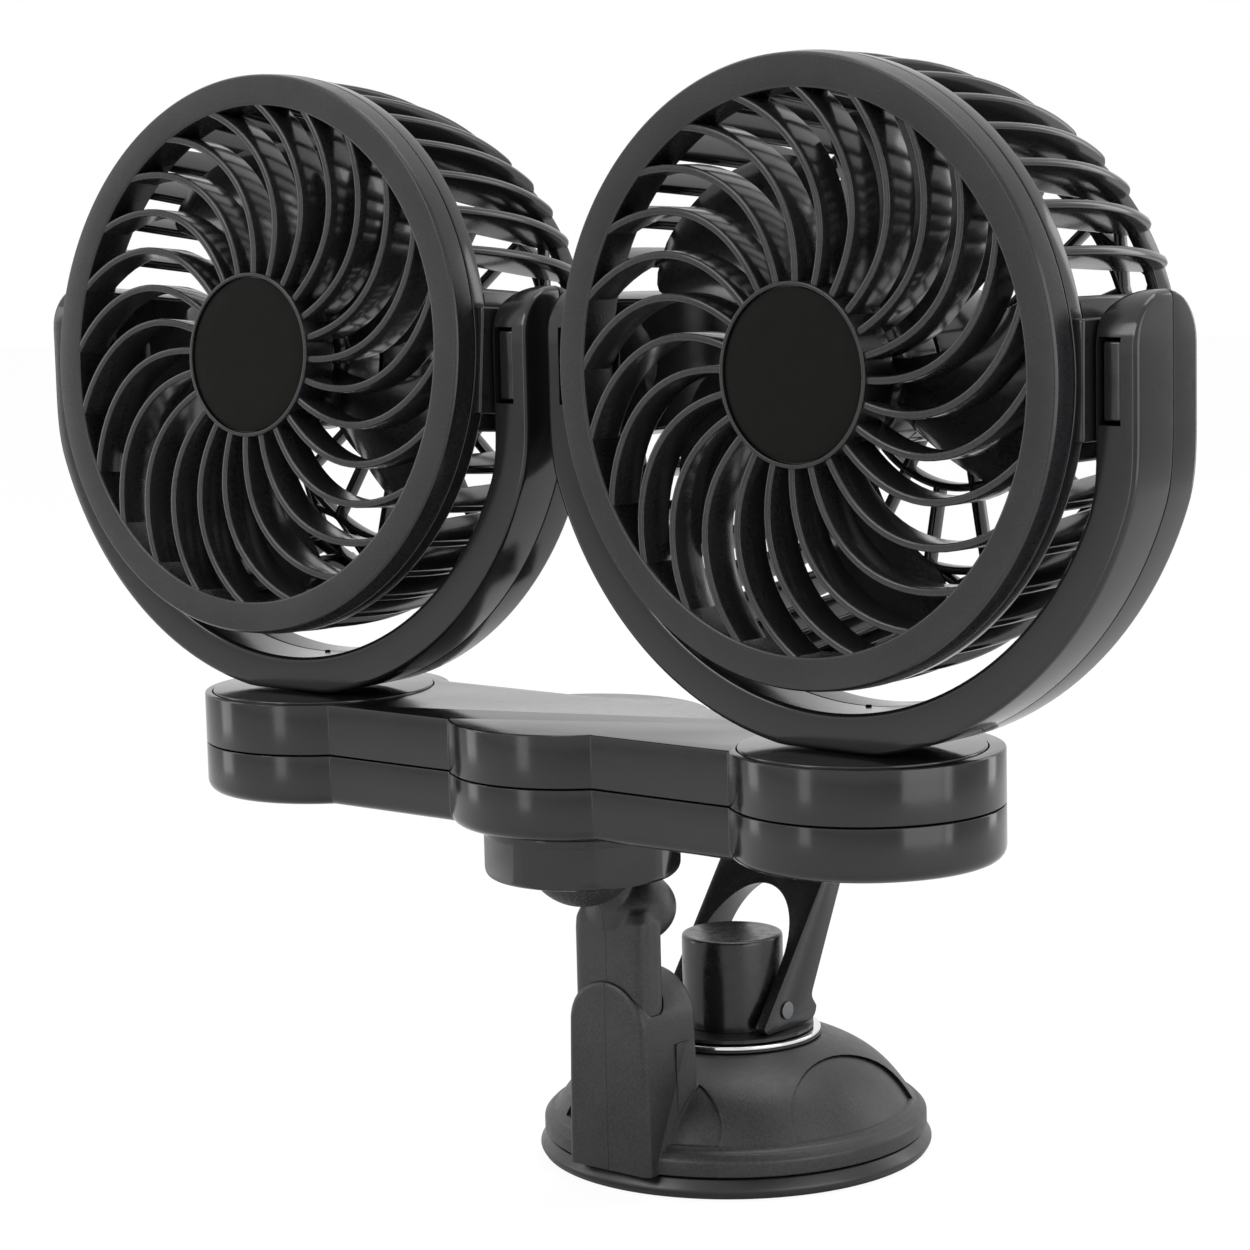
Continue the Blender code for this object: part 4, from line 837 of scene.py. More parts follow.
def axes_at(right: Vector, up: Vector, centre: Vector) -> Matrix:
    """A place whose X is right, whose Y is up and whose Z looks forwards.

    Args:
        right: way of its X.
        up: way of its Y.
        centre: its middle.

    Returns:
        The place.
    """
    ahead = right.cross(up)
    return Matrix.Translation(centre) @ Matrix((right, up, ahead)).transposed().to_4x4()


# The fan's sub-assemblies


@dataclass
class Screw:
    """Pan-head screw with a cross recess, head down at zero."""

    head_r: float = 0.0026
    head_h: float = 0.0016
    head_round: float = 0.6
    head_crown: float = 0.55
    shank_r: float = 0.0013
    thread_pitch: float = 0.0005
    thread_half: float = 0.00012
    thread_core: float = 0.8
    cross_half: float = 0.00035
    cross_reach: float = 0.0015
    cross_depth: float = 0.0009

    def build(self, name: str, depth: float) -> Shape:
        """Builds the screw, with a shank that reaches a little past the seam.

        Args:
            name: its name.
            depth: from the face round its head to the seam.

        Returns:
            The object.
        """
        length = depth - self.head_h + SCREW_PAST
        top = self.head_h + length
        profile = [(0.0, top), (self.shank_r * 0.5, top), (self.shank_r, top - self.shank_r)]
        turns = int((length - self.shank_r) / self.thread_pitch)
        for index in range(turns):
            height = top - self.shank_r - (index + 0.5) * self.thread_pitch
            profile.append((self.shank_r, height + self.thread_half))
            profile.append((self.shank_r * self.thread_core, height))
            profile.append((self.shank_r, height - self.thread_half))
        profile += [(self.shank_r, self.head_h), (self.head_r, self.head_h)]
        for turn in (0.0, 0.5, 1.0):
            drawn_in = self.head_h * self.head_round * (1 - cos(turn))
            profile.append((self.head_r - drawn_in, self.head_h * self.head_crown * (1 - sin(turn))))
        profile += [(self.head_r * 0.5, 0.0), (0.0, 0.0)]
        screw = lathe(name, profile, 32)
        for reach_x, reach_y in ((self.cross_reach, self.cross_half), (self.cross_half, self.cross_reach)):
            slot = block("slot", (-reach_x, -reach_y, -self.head_h), (reach_x, reach_y, self.cross_depth))
            screw = combined(screw, slot)
        return screw


@dataclass
class FanHead:
    """One fan head, face up round the tilt axis: X is right, Y is up and Z is forwards."""

    ring_r: float = 0.0578
    ring_inner_r: float = 0.051
    ring_face_r: float = 0.057
    ring_face_h: float = 0.019
    ring_edge_h: float = 0.0184
    seam_h: float = 0.014
    skirt_r: float = 0.0528
    skirt_h: float = 0.0106
    vane_count: int = 24
    vane_thick: float = 0.0015
    vane_front_h: float = 0.0188
    vane_depth: float = 0.0078
    vane_corner: float = 0.00045
    # Share of a vane's way on each side of a place that gives its direction there.
    vane_reach: float = 0.02
    ring_draft: float = 0.0004
    badge_thick: float = 0.0008
    badge_crown: float = 0.00015
    badge_edge: float = 0.00035
    motor_boss_r: float = 0.003
    motor_boss_h: float = 0.0012
    shaft_bore_h: float = 0.0103
    impeller_bore_r: float = 0.0013
    impeller_bore_h: float = 0.0083
    vane_sweep: float = 32.0
    vane_power: float = 1.9
    hub_r: float = 0.0169
    hub_rim: float = 0.0008
    hub_front_h: float = 0.0193
    hub_depth: float = 0.0086
    badge_recess: float = 0.0013
    band_rear_h: float = 0.0099
    band_rear_r: float = 0.0576
    band_inner_r: float = 0.0531
    rib_count: int = 40
    rib_thick: float = 0.0018
    rib_rear_r: float = 0.0497
    rib_inner_front_r: float = 0.0515
    rib_inner_rear_r: float = 0.0462
    rib_power: float = 2.5
    rib_corner: float = 0.0007
    rib_tip: float = 0.0022
    rib_lap: float = 0.0004
    rear_h: float = -0.0333
    rear_ring_r: float = 0.0486
    rear_ring_h: float = -0.029
    lug_r: float = 0.0591
    lug_inner_r: float = 0.05
    lug_half: float = 0.0105
    lug_rear_h: float = -0.009
    lug_front_h: float = 0.0134
    guard_h: float = -0.0327
    guard_thick: float = 0.003
    guard_rings: Pair = (0.024, 0.04)
    guard_spokes: int = 9
    guard_ring_half: float = 0.0008
    guard_spoke: float = 0.0016
    guard_cross: float = 0.0013
    cup_r: float = 0.0143
    cup_bore_r: float = 0.0123
    cup_floor_h: float = -0.0313
    motor_r: float = 0.012
    motor_rear_h: float = -0.031
    motor_front_h: float = -0.007
    shaft_bore_r: float = 0.0014
    impeller_hub_r: float = 0.015
    impeller_nose_r: float = 0.009
    impeller_front_h: float = 0.0088
    impeller_shoulder_h: float = 0.005
    impeller_rear_h: float = -0.005
    blade_count: int = 5
    blade_tip_r: float = 0.0482
    blade_root_r: float = 0.0135
    blade_root_chord: float = 0.017
    blade_tip_chord: float = 0.043
    blade_thick: float = 0.0014
    blade_mid_h: float = 0.0014
    blade_crown: float = 0.0008
    blade_edge_thin: float = 0.75
    blade_root_pitch: float = 36.0
    blade_twist: float = 19.0
    blade_sweep: float = 16.0
    blade_round_share: float = 0.78
    blade_tip_round: float = 0.8
    blade_phase: float = 0.0
    pivot_x: float = 0.0606
    pivot_r: float = 0.0064
    pivot_thick: float = 0.004
    pivot_shank_r: float = 0.003
    pivot_shank: float = 0.006

    def vane_path(self, part: float) -> Vector:
        """Middle of a vane at a share of its way from the hub to the ring.

        Args:
            part: share of the way.

        Returns:
            The point.
        """
        inner = self.hub_r - self.hub_rim / 2
        radius = inner + (self.ring_inner_r + self.vane_thick / 2 - inner) * part
        angle = radians(90.0 - self.vane_sweep + self.vane_sweep * part**self.vane_power)
        return polar(radius, angle)

    def vane(self) -> Shape:
        """One swirl vane with softly rounded edges.

        Returns:
            The object.
        """
        rings = []
        for index in range(21):
            part = index / 20
            spot = self.vane_path(part)
            after = self.vane_path(min(part + self.vane_reach, 1.0))
            run = (after - self.vane_path(max(part - self.vane_reach, 0.0))).normalized()
            spot.z = self.vane_front_h - self.vane_depth / 2
            halves = (self.vane_thick / 2, self.vane_depth / 2)
            rings.append(box_section(spot, run.cross(UP), UP, *halves, self.vane_corner))
        return loft("vane", rings)

    def grille(self, name: str) -> Shape:
        """Front ring and hub of the moulding that the vanes join.

        Args:
            name: its name.

        Returns:
            The object.
        """
        edge_h = self.seam_h + GAP / 2
        corners = [
            (self.ring_inner_r, self.skirt_h),
            (self.ring_inner_r, self.ring_face_h),
            (self.ring_face_r, self.ring_face_h),
            (self.ring_r - self.ring_draft, self.ring_edge_h),
            (self.ring_r, edge_h),
            (self.skirt_r, edge_h),
            (self.skirt_r, self.skirt_h),
        ]
        softs = [0.0002, 0.0006, 0.0004, 0.0004, 0.0003, 0.0001, 0.0002]
        ring = lathe("ring", rounded(corners, softs), 192, ring=True)
        floor_h = self.hub_front_h - self.badge_recess
        well_r = self.hub_r - self.hub_rim
        corners = [
            (well_r, floor_h),
            (well_r, self.hub_front_h),
            (self.hub_r, self.hub_front_h),
            (self.hub_r, self.hub_front_h - self.hub_depth),
            (0.0, self.hub_front_h - self.hub_depth),
        ]
        hub = lathe("hub", [(0.0, floor_h)] + rounded(corners, [0.0, 0.0002, 0.0003, 0.0006, 0.0]), 96)
        return joined(name, [ring, hub])

    def vanes(self, name: str) -> Shape:
        """All the swirl vanes."""
        return copies(name, self.vane(), around(self.vane_count))

    def badge(self, name: str) -> Shape:
        """Bare disc in the hub, barely crowned.

        Args:
            name: its name.

        Returns:
            The object.
        """
        radius = self.hub_r - self.hub_rim - GAP
        low = self.hub_front_h - self.badge_recess + GAP
        high = low + self.badge_thick
        top = [(radius * share, high - self.badge_crown * share**2) for share in (0.0, 0.25, 0.5, 0.75, 0.95)]
        return lathe(name, top + [(radius, high - self.badge_edge), (radius, low), (0.0, low)], 96)

    def outer_r(self, height: float) -> float:
        """Outer radius of the basket's ribs at a height."""
        part = max((self.band_rear_h - height) / (self.band_rear_h - self.rear_h), 0.0)
        return self.band_rear_r - (self.band_rear_r - self.rib_rear_r) * part**self.rib_power

    def inner_r(self, height: float) -> float:
        """Inner radius of the basket's ribs at a height.

        Args:
            height: the height.

        Returns:
            The radius.
        """
        part = (self.band_rear_h - height) / (self.band_rear_h - self.rear_ring_h)
        drop = self.rib_inner_rear_r - self.rib_inner_front_r
        return self.rib_inner_front_r + drop * min(max(part, 0.0), 1.0)

    def rib(self) -> Shape:
        """One rib in the plane of X and Z, arched outwards, with a rounded tip.

        Returns:
            The object.
        """
        rings = []
        tip = self.rib_tip
        span = self.band_rear_h + self.rib_lap - self.rear_h
        for index in range(19):
            height = self.band_rear_h + self.rib_lap - span * sin(pi / 2 * index / 18)
            near_tip = max(1 - (height - self.rear_h) / tip, 0.0)
            outer = self.outer_r(height) - tip * (1 - sqrt(max(1 - near_tip**2, 0.0))) * 0.9
            inner = self.inner_r(height)
            middle = Vector(((outer + inner) / 2, 0, height))
            rings.append(
                box_section(middle, X_WAY, Y_WAY, (outer - inner) / 2, self.rib_thick / 2, self.rib_corner)
            )
        return loft("rib", rings)

    def closed_side(self, turn: float) -> Shape:
        """The closed stretch of the basket at a tilt lug.

        Args:
            turn: angle of the lug, in degrees.

        Returns:
            The object.
        """
        heights = [self.band_rear_h + (self.rear_h - self.band_rear_h) * index / 12 for index in range(13)]
        section = [(self.outer_r(height), height) for height in heights]
        section += [(self.inner_r(height), height) for height in heights[::-1]]
        half = 540 / self.rib_count
        rings = []
        for index in range(13):
            angle = radians(turn - half + 2 * half * index / 12)
            rings.append([polar(radius, angle, height) for radius, height in section])
        return loft("closed_side", rings)

    def strut(self, start: Vector, end: Vector, width: float) -> Shape:
        """A flat strut of the rear guard between two points.

        Args:
            start: first end.
            end: last end.
            width: its width.

        Returns:
            The object.
        """
        run = (end - start).normalized()
        rings = [
            box_section(spot, run.cross(UP), UP, width / 2, self.guard_thick / 2, 0.0004, 2)
            for spot in (start, start.lerp(end, 0.5), end)
        ]
        return loft("strut", rings)

    def guard(self) -> list[Shape]:
        """Rear guard: rings, spokes and crossed struts next to the outer ring.

        Returns:
            The guard's pieces.
        """
        low = self.guard_h
        middle_h = low + self.guard_thick / 2
        spots = (self.cup_r - 0.001, *self.guard_rings, self.rib_inner_rear_r + 0.001)

        def at(radius: float, degrees: float) -> Vector:
            """A point of the guard at a radius and an angle."""
            return polar(radius, radians(degrees), middle_h)

        parts = []
        for radius in self.guard_rings:
            near, far = radius - self.guard_ring_half, radius + self.guard_ring_half
            high = low + self.guard_thick
            corners = [(near, low), (far, low), (far, high), (near, high)]
            parts.append(lathe("guard_ring", rounded(corners, 0.0004, 2), 120, ring=True))
        spokes = self.guard_spokes
        inner = self.strut(at(spots[0], 0), at(spots[1], 0), self.guard_spoke)
        parts.append(copies("inner_spokes", inner, around(spokes)))
        outer = self.strut(at(spots[1], 0), at(spots[2], 0), self.guard_spoke)
        parts.append(copies("outer_spokes", outer, around(2 * spokes)))
        pitch = 180 / spokes
        for lean in (-1, 1):
            ends = (at(spots[2], -lean * pitch / 2), at(spots[3], lean * pitch / 2))
            turns = [pitch * (index + 0.5) for index in range(2 * spokes)]
            parts.append(copies("crossed_struts", self.strut(*ends, self.guard_cross), turns))
        return parts

    def basket(self, name: str) -> Shape:
        """Rear housing: band, ribs, rear ring, guard, motor cup and tilt lugs.

        Args:
            name: its name.

        Returns:
            The object.
        """
        edge_h = self.seam_h - GAP / 2
        corners = [
            (self.band_inner_r, edge_h),
            (self.ring_r, edge_h),
            (self.band_rear_r, self.band_rear_h),
            (self.rib_inner_front_r, self.band_rear_h),
            (self.rib_inner_front_r, self.band_rear_h + self.rib_lap),
            (self.band_inner_r, self.band_rear_h + self.rib_lap),
        ]
        softs = [0.0001, 0.0003, 0.0006, 0.0002, 0.0, 0.0]
        band = lathe("band", rounded(corners, softs), 192, ring=True)
        corners = [
            (self.rib_inner_rear_r, self.rear_h),
            (self.rear_ring_r, self.rear_h),
            (self.rear_ring_r, self.rear_ring_h),
            (self.rib_inner_rear_r, self.rear_ring_h),
        ]
        rear = lathe("rear_ring", rounded(corners, 0.0005), 160, ring=True)
        half = 540 / self.rib_count
        step = 360 / self.rib_count
        count = int((180 - 2 * half) / step) + 1
        angles = [side + half + step * index for side in (0, 180) for index in range(count)]
        corners = [
            (0.0, self.cup_floor_h),
            (self.cup_bore_r, self.cup_floor_h),
            (self.cup_bore_r, self.motor_front_h),
            (self.cup_r, self.motor_front_h),
            (self.cup_r, self.rear_h),
            (0.0, self.rear_h),
        ]
        cup = lathe("motor_cup", rounded(corners, [0.0, 0.0004, 0.0003, 0.0003, 0.001, 0.0]), 96)
        parts = [band, rear, copies("ribs", self.rib(), angles), cup, *self.guard()]
        for sign in (-1, 1):
            parts.append(self.closed_side(90 - 90 * sign))
            parts.append(self.lug(sign))
        return joined(name, parts)

    def lug(self, sign: int) -> Shape:
        """Pad on the basket's side that turns against the yoke.

        Args:
            sign: 1 for the right side and -1 for the left one.

        Returns:
            The object.
        """
        step_r = (self.band_inner_r + self.band_rear_r) / 2
        outline = [
            (self.lug_r, self.lug_rear_h),
            (self.lug_r, self.lug_front_h),
            (step_r, self.lug_front_h),
            (step_r, self.band_rear_h - GAP),
            (self.lug_inner_r, self.band_rear_h - GAP),
            (self.lug_inner_r, self.lug_rear_h),
        ]
        pad = prism("lug", [(sign * x, h) for x, h in outline], -self.lug_half, self.lug_half)
        turned(pad, 90, "X")
        return softened(pad, 0.0005)

    def motor(self, name: str) -> Shape:
        """Motor can with rolled edges, a boss and the shaft's bore.

        Args:
            name: its name.

        Returns:
            The object.
        """
        front = self.motor_front_h
        corners = [
            (self.shaft_bore_r, front + self.motor_boss_h),
            (self.motor_boss_r, front + self.motor_boss_h),
            (self.motor_boss_r, front),
            (self.motor_r, front),
            (self.motor_r, self.motor_rear_h),
            (0.0, self.motor_rear_h),
        ]
        shell = rounded(corners, [0.0001, 0.0003, 0.0002, 0.001, 0.0008, 0.0])
        floor = front - self.shaft_bore_h
        return lathe(name, [(0.0, floor), (self.shaft_bore_r, floor)] + shell, 64)

    def blade(self) -> Shape:
        """One broad blade, thin at its edges, with a rounded tip.

        Returns:
            The object.
        """
        rings = []
        columns = 12
        for index in range(25):
            part = index / 24
            radius = self.blade_root_r + (self.blade_tip_r - self.blade_root_r) * part
            past = max(part - self.blade_round_share, 0.0) / (1 - self.blade_round_share)
            chord = self.blade_root_chord + (self.blade_tip_chord - self.blade_root_chord) * part
            chord *= sqrt(1 - self.blade_tip_round * past**2)
            pitch = radians(self.blade_root_pitch - self.blade_twist * part)
            sweep = radians(self.blade_sweep) * part**2
            front, back = [], []
            for column in range(columns + 1):
                across = 2 * column / columns - 1
                angle = across * chord / 2 * cos(pitch) / radius + sweep
                crown = self.blade_crown * (1 - across**2)
                rise = across * chord / 2 * sin(pitch) + self.blade_mid_h + crown
                thick = self.blade_thick / 2 * (1 - self.blade_edge_thin * across**8)
                out = polar(radius, angle, rise)
                lean = Vector((sin(angle) * sin(pitch), -cos(angle) * sin(pitch), cos(pitch)))
                front.append(out + lean * thick)
                back.append(out - lean * thick)
            rings.append(front + back[::-1])
        return loft("blade", rings)

    def impeller(self, name: str) -> Shape:
        """Hub cap with a domed nose and its broad blades.

        Args:
            name: its name.

        Returns:
            The object.
        """
        bore = self.impeller_bore_r
        corners = [
            (0.0, self.impeller_front_h),
            (self.impeller_nose_r, self.impeller_front_h),
            (self.impeller_hub_r, self.impeller_shoulder_h),
            (self.impeller_hub_r, self.impeller_rear_h),
            (bore, self.impeller_rear_h),
            (bore, self.impeller_rear_h + self.impeller_bore_h),
            (0.0, self.impeller_rear_h + self.impeller_bore_h),
        ]
        hub = lathe("hub", rounded(corners, [0.0, 0.003, 0.0024, 0.0004, 0.0, 0.0, 0.0], 6), 96)
        blades = copies("blades", self.blade(), around(self.blade_count, self.blade_phase))
        return joined(name, [hub, blades])

    def pivot(self, name: str) -> Shape:
        """Round boss that turns in the yoke, with its shank, along Z.

        Args:
            name: its name.

        Returns:
            The object.
        """
        top = self.pivot_x + self.pivot_thick
        corners = [
            (0.0, top),
            (self.pivot_r, top),
            (self.pivot_r, self.pivot_x),
            (self.pivot_shank_r, self.pivot_x),
            (self.pivot_shank_r, self.pivot_x - self.pivot_shank),
            (0.0, self.pivot_x - self.pivot_shank),
        ]
        return lathe(name, rounded(corners, [0.0, 0.0005, 0.0003, 0.0, 0.0003, 0.0]), 48)

    def dress(self, shop: Workshop, side: Side) -> None:
        """Builds one head's pieces and puts them in the fan.

        Args:
            shop: the workshop.
            side: which head it is.
        """
        key = side.value
        tilt = joint(f"{key}_head_tilt")
        right = Vector(tilt["axis"]).normalized()
        ahead = Vector(joint(f"{key}_rotor_spin")["axis"]).normalized()
        place = axes_at(right, ahead.cross(right), Vector(tilt["pos_m"]))
        head, rotor = f"{key}_head", f"{key}_rotor"
        # The vanes and the impeller take the black ABS that is lightened as painted sheen.
        for made, finish, body, node, slot in (
            (self.grille(f"grille_{key}_looks"), Finish.SATIN_ABS, head, "front_grille", Slot.GRILLE),
            (self.vanes(f"vanes_{key}_looks"), Finish.SHEEN_PAINTED_ABS, head, "front_grille", Slot.GRILLE),
            (self.badge(f"badge_{key}_looks"), Finish.BADGE_ABS, head, "hub_badge", Slot.BADGE),
            (self.basket(f"basket_{key}_looks"), Finish.POLISHED_ABS, head, "rear_housing", Slot.GLOSS),
            (self.motor(f"motor_{key}_looks"), Finish.MOTOR_STEEL, head, "motor", Slot.STEEL),
            (self.impeller(f"impeller_{key}_looks"), Finish.SHEEN_PAINTED_ABS, rotor, "impeller", Slot.GLOSS),
        ):
            shop.fit(made, finish, body, place, [f"{node}_{key}"])
        for turn, end in ((-1, Side.LEFT), (1, Side.RIGHT)):
            sideways = place @ Matrix.Rotation(radians(90 * turn), 4, "Y")
            node = f"tilt_pivot_{key}_{end.value}"
            pivot = self.pivot(f"{node}_looks")
            shop.fit(pivot, Finish.POLISHED_ABS, head, sideways, [node])
        shop.repaint(f"motor_shaft_{key}", Finish.ZINC_STEEL)


@dataclass
class Yoke:
    """U-shaped yoke on its turntable: X is right, Y is up from the tilt axis and Z is forwards."""

    inner_r: float = 0.0624
    outer_r: float = 0.0703
    inner_x: float = 0.0595
    outer_x: float = 0.0683
    top: float = 0.0152
    drop: float = 0.0695
    front_h: float = 0.011
    rear_h: float = -0.008
    seam: float = 0.0003
    inner_corner: float = 0.0058
    outer_corner: float = 0.0016
    edge: float = 0.0011
    window_half: float = 0.0075
    window_near: float = 0.0603
    window_far: float = 0.0649
    bend_ease: float = 0.0016
    shank_r: float = 0.0033
    stop_low: float = 0.0069
    stop_high: float = 0.0104
    stop_gap: float = 0.0007
    stop_back: float = 0.0002
    stop_soft: float = 0.0005
    least: float = 0.0002
    window_low: float = -0.0067
    bore: Pair = (0.055, 0.061)
    gate_r: float = 0.0006
    gate_depths: Pair = (0.0003, -0.0002)
    gate_place: Pair = (0.002, 0.0004)
    seam_soft: float = 0.00018
    screw_deg: float = 30.0
    screw_deep: float = 0.0078
    table_bore_r: float = 0.0043
    table_bore_h: float = 0.0033
    table_r: float = 0.0234
    table_thick: float = 0.002
    table_soft: float = 0.0004
    spigot_r: float = 0.008
    web: float = 0.002

    def stations(self) -> list[tuple[Vector, Vector, float]]:
        """Inner point, outer point and height of the right half, from the foot up to the arm's top.

        Returns:
            Each station's inner point, outer point and height.
        """
        outer_deg = math.degrees(math.acos(self.outer_x / self.outer_r))
        inner_deg = math.degrees(math.acos(self.inner_x / self.inner_r))
        result = []
        for index in range(41):
            part = index / 40
            outer = radians(-90 + part * (90 - outer_deg))
            inner = radians(-90 + part * (90 - inner_deg))
            near = Vector((self.inner_r * cos(inner), self.inner_r * sin(inner)))
            far = Vector((self.outer_r * cos(outer), max(self.outer_r * sin(outer), -self.drop)))
            near.x = self.eased(near.x, self.inner_x)
            far.x = self.eased(far.x, self.outer_x)
            result.append((near, far, (near.y + far.y) / 2))
        start_in, start_out = result[-1][0].y, result[-1][1].y
        for index in range(1, 25):
            part = sin(pi / 2 * index / 24)
            top = self.top - 0.00002
            low_y, far_y = start_in + (top - start_in) * part, start_out + (top - start_out) * part
            low_x = self.eased(self.circle_x(self.inner_r, low_y), self.inner_x)
            far_x = self.eased(self.circle_x(self.outer_r, far_y), self.outer_x)
            low_x += self.round_in(low_y, self.inner_corner)
            far_x -= self.round_in(far_y, self.outer_corner)
            result.append((Vector((low_x, low_y)), Vector((far_x, far_y)), (low_y + far_y) / 2))
        return result

    def circle_x(self, radius: float, height: float) -> float:
        """Half width of a circle at a height below its middle, and its radius above that."""
        return sqrt(radius**2 - min(height, 0.0) ** 2)

    def eased(self, curved: float, straight: float) -> float:
        """The smaller of two widths, with a soft change from one to the other."""
        share = min(max(0.5 + 0.5 * (straight - curved) / self.bend_ease, 0.0), 1.0)
        return straight + (curved - straight) * share - self.bend_ease * share * (1 - share)

    def round_in(self, height: float, corner: float) -> float:
        """How far a corner of the arm's top is drawn in at a height."""
        past = max(height - (self.top - corner), 0.0)
        return corner - sqrt(max(corner**2 - past**2, 0.0))

    def depth_at(self, height: float) -> Pair:
        """Rear and front limits of the arm at a height, round at its top.

        Args:
            height: the height.

        Returns:
            The rear and the front limit.
        """
        radius = (self.front_h - self.rear_h) / 2
        middle = (self.front_h + self.rear_h) / 2
        past = max(height - (self.top - radius), 0.0)
        reach = sqrt(max(radius**2 - past**2, 0.0))
        return middle - reach, middle + reach

    def half(self, name: str, front: bool) -> Shape:
        """Front or rear half of the yoke, with its rounded outer edges.

        Args:
            name: its name.
            front: whether it is the front half.

        Returns:
            The object, with the pivots' windows cut.
        """
        right = self.stations()
        rings = []
        for sign, group in ((-1, right[::-1]), (1, right[1:])):
            for near, far, height in group:
                rear_h, front_h = self.depth_at(height)
                low, high = (self.seam / 2, front_h) if front else (rear_h, -self.seam / 2)
                if high - low < self.least:
                    inner, outer = self.seam / 2, self.seam / 2 + self.least
                    low, high = (inner, outer) if front else (-outer, -inner)
                rings.append(self.section(near, far, low, high, sign, front))
        half = loft(name, rings)
        for sign in (-1, 1):
            edges = sorted((sign * self.window_near, sign * self.window_far))
            low_corner = (edges[0], -self.window_half, self.window_low)
            pocket = block("pocket", low_corner, (edges[1], self.window_half, self.front_h + CLEAR))
            half = combined(half, pocket)
            bore = lathe("bore", rod(self.shank_r, *self.bore), 32)
            half = combined(half, turned(bore, 90 * sign, "Y"))
        if not front:
            room = screw_room(self.rear_h, self.rear_h + self.screw_deep)
            for x, y in self.screw_spots():
                half = combined(half, shifted(lathe("hole", room[::-1], 32), x, y, 0))
        if front:
            half = joined(name, [half, *self.window_stops()])
        return shaded(half, 24.0)

    def window_stops(self) -> list[Shape]:
        """Rounded blocks that stand in the windows in front of the pivots.

        Returns:
            The two blocks.
        """
        parts = []
        for sign in (-1, 1):
            near, far = self.window_near + self.stop_gap, self.window_far - self.stop_back
            edges = sorted((sign * near, sign * far))
            half = self.window_half - self.stop_gap
            stop = block("stop", (edges[0], -half, self.stop_low), (edges[1], half, self.stop_high))
            parts.append(softened(stop, self.stop_soft, 4))
        return parts

    def gate(self, name: str) -> Shape:
        """Mark of the mould's gate on the inside of the bend.

        Args:
            name: its name.

        Returns:
            The object.
        """
        mark = lathe(name, rounded(rod(self.gate_r, *self.gate_depths), [0.0, 0.0002, 0.0, 0.0]), 16)
        x, z = self.gate_place
        return shifted(turned(mark, -90, "X"), x, -self.inner_r, z)

    def section(self, near: Vector, far: Vector, low: float, high: float, sign: int, front: bool) -> Ring:
        """One section of a half: its outer edges are rounded and its seam edges are nearly sharp.

        Args:
            near: point of the inner face.
            far: point of the outer face.
            low: rear limit.
            high: front limit.
            sign: 1 for the right side and -1 for the left one.
            front: whether it is the front half.

        Returns:
            The section's points.
        """
        width = (far - near).length
        corners = [(0.0, low), (width, low), (width, high), (0.0, high)]
        soft = min(self.edge, width * 0.45, (high - low) * 0.45)
        fine = min(self.seam_soft, soft)
        radii = [fine, fine, soft, soft] if front else [soft, soft, fine, fine]
        run = (far - near) / width
        ring = []
        for across, height in rounded(corners, radii, 5):
            spot = near + run * across
            ring.append(Vector((sign * spot.x, spot.y, height)))
        return ring

    def screw_spots(self) -> list[Pair]:
        """Places of the two screws on the lower bend.

        Returns:
            Their X and Y.
        """
        radius = (self.inner_r + self.outer_r) / 2
        turn = radians(self.screw_deg)
        x, y = radius * sin(turn), -radius * cos(turn)
        return [(-x, y), (x, y)]

    def turntable(self, name: str, top: float) -> Shape:
        """Round table with its spigot, upright, with its top at a height.

        Args:
            name: its name.
            top: height of its top.

        Returns:
            The object.
        """
        foot = top - self.table_thick - GAP - self.web - GAP
        corners = [
            (0.0, top),
            (self.table_r, top),
            (self.table_r, top - self.table_thick),
            (self.spigot_r, top - self.table_thick),
            (self.spigot_r, foot),
            (self.table_bore_r, foot),
            (self.table_bore_r, foot + self.table_bore_h),
            (0.0, foot + self.table_bore_h),
        ]
        return lathe(name, rounded(corners, [0.0, self.table_soft, 0.0002, 0.0, 0.0003, 0.0, 0.0, 0.0]), 128)

    def dress(self, shop: Workshop, side: Side) -> None:
        """Builds one yoke's pieces and puts them in the fan.

        Args:
            shop: the workshop.
            side: which head it holds.
        """
        key = side.value
        tilt = joint(f"{key}_head_tilt")
        centre = Vector(tilt["pos_m"])
        place = axes_at(Vector(tilt["axis"]).normalized(), UP, centre)
        upright = Matrix.Translation((centre.x, centre.y, 0))
        body = f"{key}_yoke"
        black = Finish.POLISHED_ABS
        front, rear = f"yoke_front_{key}", f"yoke_rear_{key}"
        shop.fit(self.half(f"{front}_looks", True), black, body, place, [front])
        shop.fit(self.half(f"{rear}_looks", False), black, body, place, [rear])
        shop.fit(self.gate(f"gate_mark_{key}_looks"), Finish.BADGE_ABS, body, place, [front])
        for number, (x, y) in enumerate(self.screw_spots(), 1):
            node = f"yoke_screw_{key}_{number}"
            screw = Screw().build(f"{node}_looks", -self.rear_h)
            here = place @ Matrix.Translation((x, y, self.rear_h))
            shop.fit(screw, Finish.ZINC_STEEL, body, here, [node])
        table = self.turntable(f"turntable_{key}_looks", centre.z - self.drop - GAP)
        shop.fit(table, black, body, upright, [f"turntable_{key}"])
        shop.repaint(f"retainer_{key}", Finish.POLYAMIDE)


